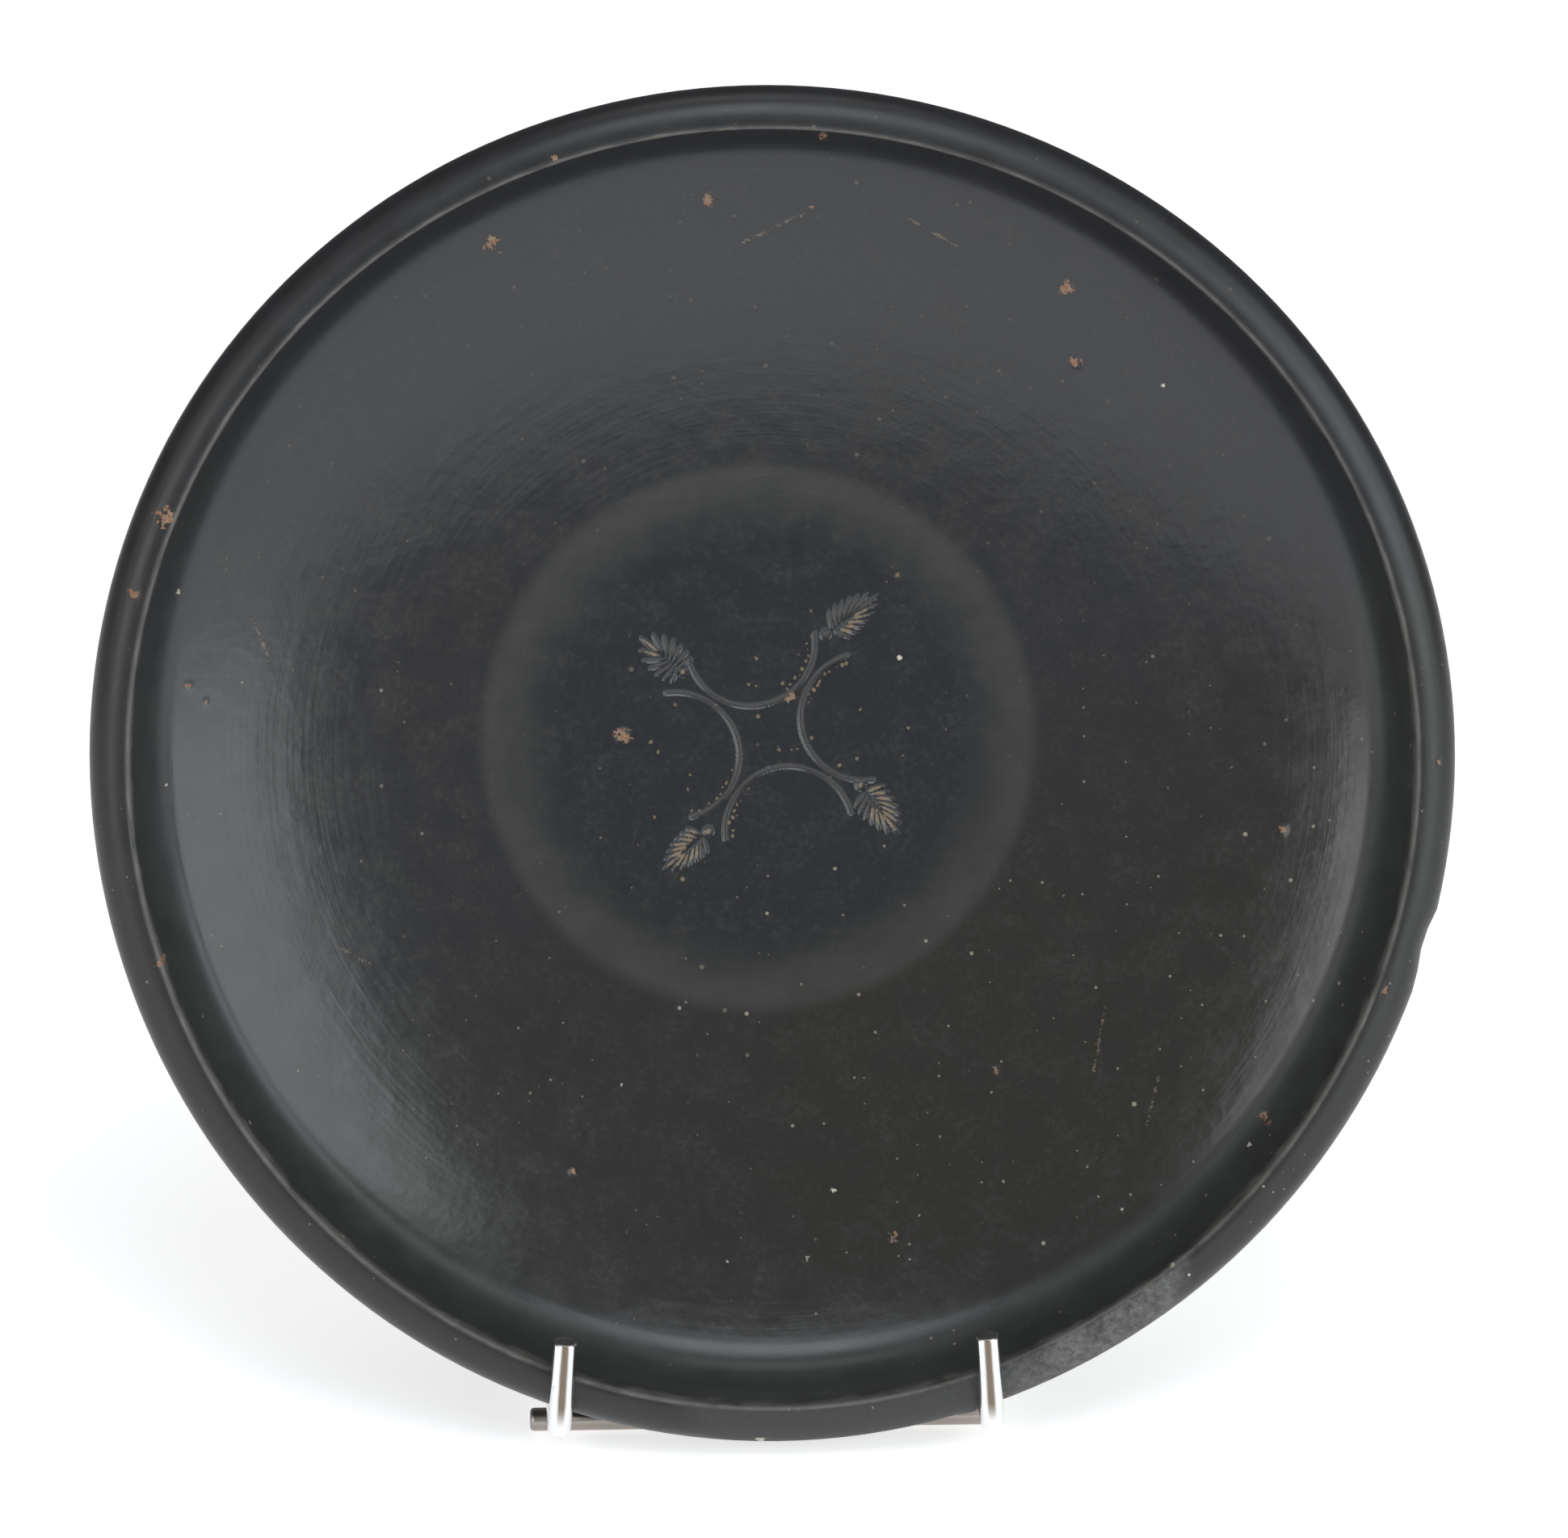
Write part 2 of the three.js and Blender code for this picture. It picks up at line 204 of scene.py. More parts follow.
section += swept(crest_inside, WALL_PULL, wall_foot_pull, (FLOOR_EDGE_R, wall_foot), 20)[1:]
section += [(r, floor_height(r)) for r in np.arange(FLOOR_EDGE_R - FLOOR_STEP, STAMPED_R, -FLOOR_STEP)]
section += [(r, floor_height(r)) for r in np.arange(STAMPED_R, FINE_STEP / 2, -FINE_STEP)]
section += [(0, FLOOR_H)]
print(len(section), "points in the section")

# %% [markdown]
# ## Spin the plate
# The first point starts as a small plane that is merged to one vertex. Each further point is an extruded
# vertex, as if clicked by hand along the drawing. The finished row is spun a full turn, its seam and its
# two poles are merged, and only then are the normals made to point outwards.

# %% Extrude the section and spin it
PLATE_SEGMENTS = 196
MERGE_REACH = 0.002 * MM


def only(piece):
    """Select one object alone and make it the active one."""
    bpy.ops.object.select_all(action="DESELECT")
    piece.select_set(True)
    bpy.context.view_layer.objects.active = piece


bpy.ops.object.select_all(action="DESELECT")
bpy.ops.mesh.primitive_plane_add(size=MM, location=(0, 0, 0))
plate = bpy.context.object
plate.name = "glazed_plate"
bpy.ops.object.mode_set(mode="EDIT")
bpy.ops.mesh.select_all(action="SELECT")
bpy.ops.mesh.merge(type="CENTER")
bpy.ops.transform.translate(value=(section[0][0], 0, section[0][1]))
for before, after in zip(section, section[1:]):
    step = (after[0] - before[0], 0, after[1] - before[1])
    bpy.ops.mesh.extrude_vertices_move(TRANSFORM_OT_translate={"value": step})
bpy.ops.mesh.select_all(action="SELECT")
bpy.ops.mesh.spin(steps=PLATE_SEGMENTS, angle=2 * math.pi, center=(0, 0, 0), axis=(0, 0, 1))
bpy.ops.mesh.select_all(action="SELECT")
bpy.ops.mesh.remove_doubles(threshold=MERGE_REACH)
bpy.ops.mesh.normals_make_consistent(inside=False)
bpy.ops.object.mode_set(mode="OBJECT")
print("plate spun:", len(plate.data.polygons), "faces")

# %% [markdown]
# ## The marks on the floor
# The stamped palmettes and the incised arcs were pressed into the leather-hard clay by hand, so no two sit
# quite alike. Each palmette is described by where its heart is, which way it points and how long it is.
# Chips, lime specks and scratches came later. All of them are kept as short lines in plate terms, from one
# point to another, so that one distance function serves them all.

# %% Say where each mark is
# Palmette: heart to the right and up from the ornament's middle, way it points, length, spread of its petals.
PALMETTES = {
    "upper_left": (-14.6, 11.3, 140, 9.6, 108),
    "upper_right": (9.6, 17.4, 37, 11.4, 62),
    "lower_left": (-10.6, -16.2, 220, 10.2, 66),
    "lower_right": (15.4, -8.6, 307, 11.0, 70),
}
# The petals that still hold pale clay, counted from the palmette's own right to its left.
PALE_PETALS = {"upper_left": (0, 1), "upper_right": (-5, -1), "lower_left": (-6, 4), "lower_right": (-3, 6)}
ORNAMENT_RIGHT = 0.3
ORNAMENT_UP = 1.4
ARC_FIRST_DEG = 11
ARC_CENTRE_OUT = 16.4
ARC_RADIUS = 10.9
ARC_HALF_SWEEP_DEG = 88

# Clay chips: angle counter-clockwise from the right, distance from the middle and size, in degrees and mm.
CLAY_CHIPS = [
    (156.3, 109.8, 1.7), (163.5, 110.9, 1.0), (196.8, 108.6, 1.0), (108.9, 109.3, 0.7), (84.9, 106.5, 0.9),
    (95.9, 94.6, 1.1), (117.7, 98.5, 1.4), (85.2, 92.9, 0.7), (57.5, 93.9, 1.2), (51.6, 84.2, 1.1),
    (172.3, 98.9, 0.7), (173.8, 95.8, 0.5), (0.1, 112.0, 0.6), (350.6, 88.2, 0.9), (339.4, 109.8, 0.7),
    (323.1, 104.3, 1.0), (283.8, 85.9, 0.9), (304.4, 67.6, 0.7), (244.8, 79.7, 0.6), (175.7, 24.7, 1.5),
    (64.9, 8.9, 0.9),
]
LIME_SPECKS = [
    (42.9, 91.3, 0.5), (163.3, 103.6, 0.6), (181.8, 102.4, 0.5), (320.2, 104.9, 0.5), (308.0, 108.2, 0.5),
    (308.6, 111.3, 0.5), (321.6, 111.4, 0.4), (306.9, 98.7, 0.5), (277.8, 76.6, 0.7), (246.2, 63.2, 0.4),
    (264.8, 87.8, 0.5), (273.8, 87.1, 0.6), (33.3, 26.8, 0.6), (268.6, 114.2, 1.1),
]
# Single grains of clay by the ornament: to the right, up and size.
CLAY_GRAINS = [
    (-1.9, 3.5, 0.35), (-2.2, 13.5, 0.3), (-9.0, 5.6, 0.35), (1.6, -2.3, 0.35), (3.5, -2.2, 0.3),
    (4.7, -2.2, 0.3), (7.1, -0.3, 0.45), (11.8, -5.0, 0.4), (22.6, -3.4, 0.4), (23.5, 1.3, 0.35),
    (15.4, 4.5, 0.35), (-16.0, 5.7, 0.5), (-13.6, -6.4, 0.4), (-14.0, -8.8, 0.45), (-19.8, -13.5, 0.4),
    (-22.5, -18.2, 0.35), (-15.1, -24.2, 0.4), (-19.0, -2.4, 0.4), (-20.2, -0.6, 0.45), (-2.3, 8.8, 0.25),
    (-3.5, 9.0, 0.25), (2.2, 9.1, 0.3), (21.0, 29.0, 0.4), (21.8, 27.6, 0.45), (19.9, 26.4, 0.35),
]
# Scratches: angle and distance of one end, then of the other, then width.
SCRATCHES = [
    (92.6, 86.8, 85.2, 92.9, 0.3), (75.3, 94.2, 69.4, 91.9, 0.25), (164.7, 90.1, 168.7, 86.0, 0.3),
    (203.7, 81.2, 207.8, 77.2, 0.25), (321.6, 72.6, 314.4, 78.4, 0.3), (319.7, 86.6, 314.4, 90.9, 0.25),
]


def polar(degrees, distance):
    """A point so far from the plate's middle at an angle counter-clockwise from the right."""
    return np.array((distance * math.cos(math.radians(degrees)), distance * math.sin(math.radians(degrees))))


def distance_to_line(points, start, end):
    """How far each point is from a straight line between two points."""
    along = end - start
    length_squared = max(float(along @ along), 1e-9)
    share = np.clip((points - start) @ along / length_squared, 0, 1)
    return np.linalg.norm(points - start - share[:, None] * along, axis=1)


print(len(PALMETTES), "palmettes,", len(CLAY_CHIPS), "chips,", len(SCRATCHES), "scratches")

# %% [markdown]
# ## Finer faces where the marks are
# A stamp's petals are about half a millimetre wide, far finer than the plate's own faces. Subdividing the
# whole plate would waste hundreds of thousands of faces, so only the faces under a mark are selected and
# subdivided.

# %% Subdivide the faces under the ornament and the wear
STAMP_MIDDLE = np.array((ORNAMENT_RIGHT, ORNAMENT_UP))
FRONT_CUTS = 3
WEAR_CUTS = 4
ARC_BORDER = 2.2
PALMETTE_BORDER = 5.5
WEAR_BORDER = 1.2
SMALL_FACE = 0.2 * MM * MM


def arc_distance(points):
    """How far each point is from the nearest of the four incised arcs."""
    nearest = np.full(len(points), np.inf)
    for quarter in range(4):
        out_deg = ARC_FIRST_DEG + 90 * quarter
        offset = points - STAMP_MIDDLE - polar(out_deg, ARC_CENTRE_OUT)
        turn = np.degrees(np.arctan2(offset[:, 1], offset[:, 0])) - out_deg - 180
        turn = (turn + 180) % 360 - 180
        off_line = np.abs(np.linalg.norm(offset, axis=1) - ARC_RADIUS)
        nearest = np.minimum(nearest, np.where(np.abs(turn) < ARC_HALF_SWEEP_DEG, off_line, np.inf))
    return nearest


def palmette_axis(name):
    """The heart and the tip of one palmette, from the plate's middle."""
    right, up, points_deg, length, _ = PALMETTES[name]
    heart = STAMP_MIDDLE + np.array((right, up))
    return heart, heart + polar(points_deg, length)


GRAIN_ROWS = [(90, 1), (0, -1), (180, -1), (270, 1)]
GRAIN_FIRST_TURN = 26
GRAIN_LAST_TURN = 86
GRAIN_PITCH_TURN = 6.5
GRAIN_OFF_ARC = 1.0
GRAIN_SCATTER = 0.35
GRAIN_TURN_SCATTER = 1.5
GRAIN_LEAST = 0.18
GRAIN_MOST = 0.42


def clay_grains():
    """The single grains, and the rows of grains beside the arcs towards the lower left and the upper right."""
    luck = np.random.default_rng(7)
    made = [(STAMP_MIDDLE + np.array((right, up)), size) for right, up, size in CLAY_GRAINS]
    for arc_deg, end in GRAIN_ROWS:
        out_deg = ARC_FIRST_DEG + arc_deg
        for turn in np.arange(GRAIN_FIRST_TURN, GRAIN_LAST_TURN, GRAIN_PITCH_TURN):
            reach = ARC_RADIUS - GRAIN_OFF_ARC + luck.uniform(-GRAIN_SCATTER, GRAIN_SCATTER)
            way_deg = out_deg + 180 + end * turn + luck.uniform(-GRAIN_TURN_SCATTER, GRAIN_TURN_SCATTER)
            middle = STAMP_MIDDLE + polar(out_deg, ARC_CENTRE_OUT) + polar(way_deg, reach)
            made.append((middle, luck.uniform(GRAIN_LEAST, GRAIN_MOST)))
    return [(middle, middle, size) for middle, size in made]


def wear_lines():
    """Every chip, speck and scratch as its two ends and its size."""
    spots = [(polar(a, r), polar(a, r), size) for a, r, size in CLAY_CHIPS + LIME_SPECKS] + clay_grains()
    lines = [(polar(a, r), polar(b, s), size) for a, r, b, s, size in SCRATCHES]
    return spots + lines


def read_vertices(piece):
    """All vertices of a mesh in mm, as one array."""
    flat = np.empty(3 * len(piece.data.vertices))
    piece.data.vertices.foreach_get("co", flat)
    return flat.reshape(-1, 3) / MM


def write_vertices(piece, points):
    """Put moved vertices, in mm, back into a mesh."""
    piece.data.vertices.foreach_set("co", (points * MM).ravel())
    piece.data.update()


def subdivide_where(piece, wanted, cuts):
    """Cut the wanted faces of a mesh into smaller ones."""
    only(piece)
    bpy.ops.object.mode_set(mode="EDIT")
    bpy.ops.mesh.select_mode(type="FACE")
    bpy.ops.mesh.select_all(action="DESELECT")
    bpy.ops.object.mode_set(mode="OBJECT")
    piece.data.polygons.foreach_set("select", wanted)
    bpy.ops.object.mode_set(mode="EDIT")
    bpy.ops.mesh.subdivide(number_cuts=cuts)
    bpy.ops.object.mode_set(mode="OBJECT")


FRONT_OVER_FOOT = 9
FRONT_UNDER_FLOOR = 1
RIM_PART_START = 100
RIM_PART_WIDTH = 10
RIM_PART_SLOPE = 0.3


def front_height(radius):
    """A height that parts the plate's front from its underside at each distance from the middle."""
    under_rim = RIM_PART_SLOPE * np.clip(radius - RIM_PART_START, 0, RIM_PART_WIDTH)
    under_floor = floor_height(radius * MM) / MM - FRONT_UNDER_FLOOR + under_rim
    return np.where(radius < FOOT_OUTER_R / MM - 1, FRONT_OVER_FOOT, under_floor)


def front_faces(piece):
    """The middle of every face, and which faces are on the plate's front."""
    flat = np.empty(3 * len(piece.data.polygons))
    piece.data.polygons.foreach_get("center", flat)
    middles = flat.reshape(-1, 3) / MM
    radius = np.linalg.norm(middles[:, :2], axis=1)
    return middles[:, :2], middles[:, 2] > front_height(radius)


spots, on_front = front_faces(plate)
stamped = arc_distance(spots) < ARC_BORDER
for name in PALMETTES:
    heart, tip = palmette_axis(name)
    stamped |= distance_to_line(spots, heart, tip) < PALMETTE_BORDER
subdivide_where(plate, stamped & on_front, FRONT_CUTS)
spots, on_front = front_faces(plate)
worn = np.zeros(len(spots), dtype=bool)
for start, end, size in wear_lines():
    worn |= distance_to_line(spots, start, end) < 2 * size + WEAR_BORDER
small = np.array([face.area for face in plate.data.polygons]) < SMALL_FACE
subdivide_where(plate, worn & on_front & ~small, WEAR_CUTS)
print("faces after subdividing:", len(plate.data.polygons))

# %% [markdown]
# ## Press the marks in
# With enough vertices under them, the marks can be pressed into the clay. Displacing the vertices by a
# function is the code's way of sculpting: each vertex moves down by as much as the tool that made the mark
# would have pressed it. How strongly each vertex is marked is also kept as an attribute, so that the glaze
# can show the same mark in its colour.

# %% Press in arcs, petals and chips
GROOVE_HALF_WIDTH = 0.45
GROOVE_DEPTH = 0.22
PETALS_EACH_SIDE = 6
PETAL_HALF_WIDTH = 0.42
PETAL_DEPTH = 0.28
HEART_SIZE = 1.1
# Shares of a palmette's length: where its outermost and its middle petal start, and how long each is.
PETAL_ROOT_LOW = 0.12
PETAL_ROOT_RISE = 0.36
PETAL_LENGTH = 0.52
PETAL_SHORTENING = 0.2
PETAL_FAN_POWER = 0.85
CHIP_DEPTH = 0.16
CREST_LINE_R = 108.3
CREST_LINE_REACH = 0.9


def petal_marks(points, name):
    """How deeply each point lies in a petal of one palmette, and which petal that is."""
    _, _, points_deg, length, spread = PALMETTES[name]
    heart, tip = palmette_axis(name)
    axis = (tip - heart) / length
    deepest = np.clip(1 - np.linalg.norm(points - heart, axis=1) / HEART_SIZE, 0, 1)
    petal_number = np.zeros(len(points))
    for petal in range(-PETALS_EACH_SIDE, PETALS_EACH_SIDE + 1):
        share = abs(petal) / PETALS_EACH_SIDE
        root = heart + axis * length * (PETAL_ROOT_LOW + PETAL_ROOT_RISE * (1 - share))
        way = polar(points_deg + math.copysign(spread * share**PETAL_FAN_POWER, petal), 1)
        petal_length = length * (PETAL_LENGTH - PETAL_SHORTENING * share)
        offset = points - root
        along = offset @ way - petal_length / 2
        aside = offset[:, 0] * way[1] - offset[:, 1] * way[0]
        inside = 1 - (along / (petal_length / 2)) ** 2 - (aside / PETAL_HALF_WIDTH) ** 2
        petal_number = np.where(inside > np.maximum(deepest, 0), petal, petal_number)
        deepest = np.maximum(deepest, inside)
    return np.clip(deepest, 0, 1), petal_number


def spot_marks(points, marks):
    """How close each point is to the middle of the nearest mark, from 1 down to 0 at twice the mark's size."""
    strongest = np.zeros(len(points))
    for start, end, size in marks:
        strongest = np.maximum(strongest, 1 - distance_to_line(points, start, end) / (2 * size))
    return strongest


points = read_vertices(plate)
plan = points[:, :2]
radius = np.linalg.norm(plan, axis=1)
front = points[:, 2] > front_height(radius)

groove = np.clip(1 - (arc_distance(plan) / GROOVE_HALF_WIDTH) ** 2, 0, 1) * front
petals = np.zeros(len(points))
pale = spot_marks(plan, clay_grains()) * front
for name in PALMETTES:
    depth, petal_number = petal_marks(plan, name)
    petals = np.maximum(petals, depth * front)
    first, last = PALE_PETALS[name]
    pale = np.maximum(pale, depth * front * (petal_number >= first) * (petal_number <= last))
clay = spot_marks(plan, [(polar(a, r), polar(a, r), s) for a, r, s in CLAY_CHIPS]) * front
lime = spot_marks(plan, [(polar(a, r), polar(a, r), s) for a, r, s in LIME_SPECKS]) * front
scratch = spot_marks(plan, [(polar(a, r), polar(b, s), w) for a, r, b, s, w in SCRATCHES]) * front

points[:, 2] -= GROOVE_DEPTH * np.sqrt(groove)
points[:, 2] -= PETAL_DEPTH * np.sqrt(petals)
points[:, 2] -= CHIP_DEPTH * np.clip(2.5 * clay - 1, 0, 1)


def keep_mark(piece, name, values):
    """Store one number for each vertex under a name that the material reads."""
    mark = piece.data.attributes.new(name, "FLOAT", "POINT")
    mark.data.foreach_set("value", values.astype(np.float32))


keep_mark(plate, "groove", groove)
keep_mark(plate, "petals", petals)
keep_mark(plate, "clay", clay)
keep_mark(plate, "pale", pale)
keep_mark(plate, "lime", lime)
keep_mark(plate, "scratch", scratch)
keep_mark(plate, "crest", np.clip(1 - np.abs(radius - CREST_LINE_R) / CREST_LINE_REACH, 0, 1) * front)
keep_mark(plate, "roll", np.clip((radius - CREST_LINE_R) / CREST_LINE_REACH, 0, 1))
print("deepest stamp", round(PETAL_DEPTH, 2), "mm, vertices pressed:", int((groove + petals > 0).sum()))

# %% [markdown]
# ## The hand in the shape
# No thrown plate is a perfect round. This one is slightly oval and slightly three-sided, its crest is worn
# down where the rim was mended at the lower right, and its edge lost a flake at the right. Faint rings from
# the thrower's fingers run round the floor. These are small moves of the vertices too, each with its size
# named.

# %% Warp the round, settle the mended rim and flake the edge
OVAL = (2, OVAL_SIZE / MM, math.radians(226))
THREE_SIDED = (3, 0.4, math.radians(64))
MENDED_MIDDLE = math.radians(298)
MENDED_HALF = math.radians(10)
MENDED_SETTLE = 0.7
FLAKE_ANGLE = math.radians(344)
FLAKE_RADIUS = 6.0
FLAKE_DEPTH = 0.9
FLAKE_TURN = 0.55
FLAKE_FADE = 5
FINGER_RING_DEPTH = 0.008
FINGER_RING_PITCH = 7.5

angle = np.arctan2(plan[:, 1], plan[:, 0])
warp_share = np.minimum((radius / (ROLL_R / MM)) ** 2, 1)
stretch = np.zeros(len(points))
for lobes, size, phase in (OVAL, THREE_SIDED):
    stretch += size * np.cos(lobes * angle - phase) * warp_share

off_mend = (angle - MENDED_MIDDLE + math.pi) % (2 * math.pi) - math.pi
settle = np.where(np.abs(off_mend) < MENDED_HALF, np.cos(off_mend / MENDED_HALF * math.pi / 2) ** 2, 0)
high = np.clip((points[:, 2] - ROLL_H / MM) / (ROLL_HALF_HEIGHT / MM), 0, 1)
points[:, 2] -= MENDED_SETTLE * settle * high

flake_off = (angle - FLAKE_ANGLE + math.pi) % (2 * math.pi) - math.pi
flake_reach = np.hypot(flake_off * radius, (points[:, 2] - ROLL_H / MM - 1) * FLAKE_TURN)
flake = np.clip(1 - (flake_reach / FLAKE_RADIUS) ** 2, 0, 1)
flake = flake * np.clip((radius - ROLL_R / MM) / FLAKE_FADE, 0, 1)
stretch -= FLAKE_DEPTH * flake

finger_rings = np.sin(2 * math.pi * radius / FINGER_RING_PITCH + 0.6 * np.sin(2 * angle))
points[:, 2] += FINGER_RING_DEPTH * finger_rings * front * (radius < FLOOR_EDGE_R / MM)

points[:, :2] *= (1 + stretch / np.maximum(radius, 1))[:, None]
write_vertices(plate, points)
print("rim stretched by", round(float(stretch.min()), 2), "to", round(float(stretch.max()), 2), "mm")

# %% [markdown]
# ## Seat the plate
# The plate was modelled lying on its foot at the origin. Turning and moving it into the stand and applying
# that to the mesh leaves its object at the origin, as the imported solids are. It takes the place of the
# plain solid called plate, which is hidden.

# %% Stand the plate up and hand it to the frame
only(plate)
plate.matrix_world = SEAT
bpy.ops.object.transform_apply(location=True, rotation=True, scale=True)
bpy.ops.object.shade_smooth()
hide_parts("plate")
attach(plate, "root")
print("plate has", sum(len(f.vertices) - 2 for f in plate.data.polygons), "triangles")

# %% [markdown]
# ## Sums for the materials
# A procedural finish is a long sum of noises, distances and masks. Writing it as node after node is hard to
# read, so a small class lets a socket stand in an ordinary sum, and every sign in the sum adds one Math
# node. A second class owns a material and makes any other node from its type, its settings and its sockets.

# %% Two small classes for node sums
class Value:
    """One output socket that plain sums can be written with."""

    def __init__(self, finish, socket):
        self.finish = finish
        self.socket = socket

    def __add__(self, other):
        return self.finish.sum("ADD", self, other)

    def __radd__(self, other):
        return self.finish.sum("ADD", other, self)

    def __sub__(self, other):
        return self.finish.sum("SUBTRACT", self, other)

    def __rsub__(self, other):
        return self.finish.sum("SUBTRACT", other, self)

    def __mul__(self, other):
        return self.finish.sum("MULTIPLY", self, other)

    def __rmul__(self, other):
        return self.finish.sum("MULTIPLY", other, self)

    def __truediv__(self, other):
        return self.finish.sum("DIVIDE", self, other)

    def __pow__(self, other):
        return self.finish.sum("POWER", self, other)


class Finish:
    """A material whose nodes are made by one method and whose sums are written as Python."""

    def __init__(self, name):
        self.material = bpy.data.materials.new(name)
        self.material.use_nodes = True
        self.tree = self.material.node_tree
        self.tree.nodes.clear()

    def node(self, kind, settings=None, sockets=None, output=0):
        """Add a node, set it up, fill its sockets with numbers or links, and give one of its outputs."""
        made = self.tree.nodes.new("ShaderNode" + kind)
        for name, setting in (settings or {}).items():
            setattr(made, name, setting)
        for name, value in (sockets or {}).items():
            if isinstance(value, Value):
                self.tree.links.new(value.socket, made.inputs[name])
            else:
                made.inputs[name].default_value = value
        return Value(self, made.outputs[output])

    def sum(self, operation, *terms):
        """One Math node on numbers or values."""
        return self.node("Math", {"operation": operation}, dict(enumerate(terms)))

    def step(self, value, low, high):
        """Rise smoothly from 0 at low to 1 at high."""
        sockets = {"Value": value, "From Min": low, "From Max": high}
        return self.node("MapRange", {"interpolation_type": "SMOOTHSTEP"}, sockets)

    def mix(self, factor, first, second):
        """Blend from the first colour to the second."""
        sockets = {0: factor, 6: first, 7: second}
        return self.node("Mix", {"data_type": "RGBA"}, sockets, 2)

    def noise(self, vector, scale, detail=3.0, roughness=0.55):
        """Soft cloudy variation around one half."""
        sockets = {"Vector": vector, "Scale": scale, "Detail": detail, "Roughness": roughness}
        return self.node("TexNoise", None, sockets, "Fac")

    def mark(self, name):
        """A number that the mesh keeps for each vertex."""
        return self.node("Attribute", {"attribute_name": name}, None, "Fac")

    def finish_with(self, shader):
        """Join the shader to the material's output."""
        output = self.tree.nodes.new("ShaderNodeOutputMaterial")
        self.tree.links.new(shader.socket, output.inputs["Surface"])


def colour(red, green, blue):
    """A colour with full alpha."""
    return (red, green, blue, 1.0)


print("node sums ready")

# %% [markdown]
# ## The black gloss
# The glaze is a fine iron slip that fired to a deep black with a satin sheen. It is bluer where it is thick
# and olive brown where it is thin, and its upper half is painted lighter and bluer, a painted reflection of
# the bright table in front. A paler ring marks where another vessel stood on it in the kiln, and inside the
# ring the black has a teal cast. Brush and wheel lines run round it. The chips and the specks show clay and
# lime, the crest's pale line is wear with a painted highlight, the rolled rim is painted darker as painted
# shade, and the mended stretch of the rim is a dull grey. The patterns read the plate's own middle through a
# Mapping node.

# %% Make the glaze
MM_PER_M = 1000
WHEEL_LINES_PER_MM = 0.9
WHEEL_LINE_WANDER = 1.6
CLOUDS_PER_M = 16.0
MOTTLE_PER_M = 150.0
FLECKS_PER_M = 900.0
GRAINS_PER_M = 2200.0

glaze = Finish("black_gloss")
object_place = glaze.node("TexCoord", None, None, "Object")
place = glaze.node("Mapping", {"vector_type": "TEXTURE"}, {
    "Vector": object_place, "Location": FOOT_CENTRE, "Rotation": (math.pi / 2 - PLATE_LEAN, 0, 0)})
parts = glaze.node("SeparateXYZ", None, {"Vector": place})
right = Value(glaze, parts.socket.node.outputs["X"]) * MM_PER_M
up = Value(glaze, parts.socket.node.outputs["Y"]) * MM_PER_M
from_middle = (right * right + up * up) ** 0.5
cosine = right / from_middle
sine = up / from_middle

wheel_place = glaze.node("CombineXYZ", None, {
    "X": from_middle * WHEEL_LINES_PER_MM, "Y": cosine * WHEEL_LINE_WANDER, "Z": sine * WHEEL_LINE_WANDER})
wheel_lines = glaze.noise(wheel_place, 1.0, 2.0, 0.65)
clouds = glaze.noise(place, CLOUDS_PER_M, 3.0)
mottle = glaze.noise(place, MOTTLE_PER_M, 3.0, 0.6)
flecks = glaze.noise(place, FLECKS_PER_M, 2.0, 0.7)
grain = glaze.noise(place, GRAINS_PER_M, 1.0)
print("glaze patterns:", len(glaze.tree.nodes), "nodes so far")

# %% [markdown]
# ## Tones of the black
# The two blacks are mixed by large clouds and by height. The height is a painted reflection: the upper half,
# which mirrors the bright table in front, is painted lighter and bluer, and the lower half browner.
# The kiln ring has a middle of its own, a little off the plate's, so its distance is worked out apart.

# %% Mix the blacks and the kiln ring
KILN_RING_RIGHT = -1.7
KILN_RING_UP = 1.4
KILN_RING_INNER = 43.4
KILN_RING_OUTER = 46.4
KILN_RING_WANDER = 1.5
TEAL_EDGE = (KILN_RING_INNER - 10, KILN_RING_INNER + 1.5)
BAND_EDGE = (KILN_RING_OUTER - 1, KILN_RING_OUTER + 2)
TEAL_SHARE = 0.7
# Painted reflection: how fast the lighter, bluer black of the upper half gives way to olive brown going down.
REFLECTION_FADE_DOWN = 0.004
BROWN_EDGE = (0.5, 1.3)
FLOOR_EDGE = (98.0, 102.0)
DUST_EDGE = (0.44, 0.80)
DUST_SHARE = 0.6

# The blue black is lighter than the olive one: it also carries the painted reflection on the upper half.
BLUE_BLACK_AND_REFLECTION = colour(0.0180, 0.0185, 0.0210)
OLIVE_BLACK = colour(0.0170, 0.0163, 0.0138)
TEAL_BLACK = colour(0.0115, 0.0135, 0.0165)
RING_OLIVE = colour(0.0385, 0.0380, 0.0345)
DUSTY_BLACK = colour(0.0290, 0.0280, 0.0260)
# The roll's darker black is painted shade.
ROLL_SHADE_BLACK = colour(0.0080, 0.0076, 0.0068)

from_ring = ((right - KILN_RING_RIGHT) ** 2 + (up - KILN_RING_UP) ** 2) ** 0.5
ring_place = from_ring + (mottle - 0.5) * KILN_RING_WANDER
in_ring = 1 - glaze.step(ring_place, *TEAL_EDGE)
in_band = (1 - in_ring) * (1 - glaze.step(ring_place, *BAND_EDGE))
# Painted reflection: the term in up paints the upper half lighter and bluer and the lower half browner; the
# clouds add random tone.
brownness_and_reflection = glaze.step(clouds * 1.2 + mottle * 0.5 - up * REFLECTION_FADE_DOWN, *BROWN_EDGE)
on_floor = 1 - glaze.step(from_middle, *FLOOR_EDGE)
on_roll = glaze.mark("roll")
dusty = glaze.step(flecks + (mottle - 0.5) * 0.6, *DUST_EDGE) * on_floor

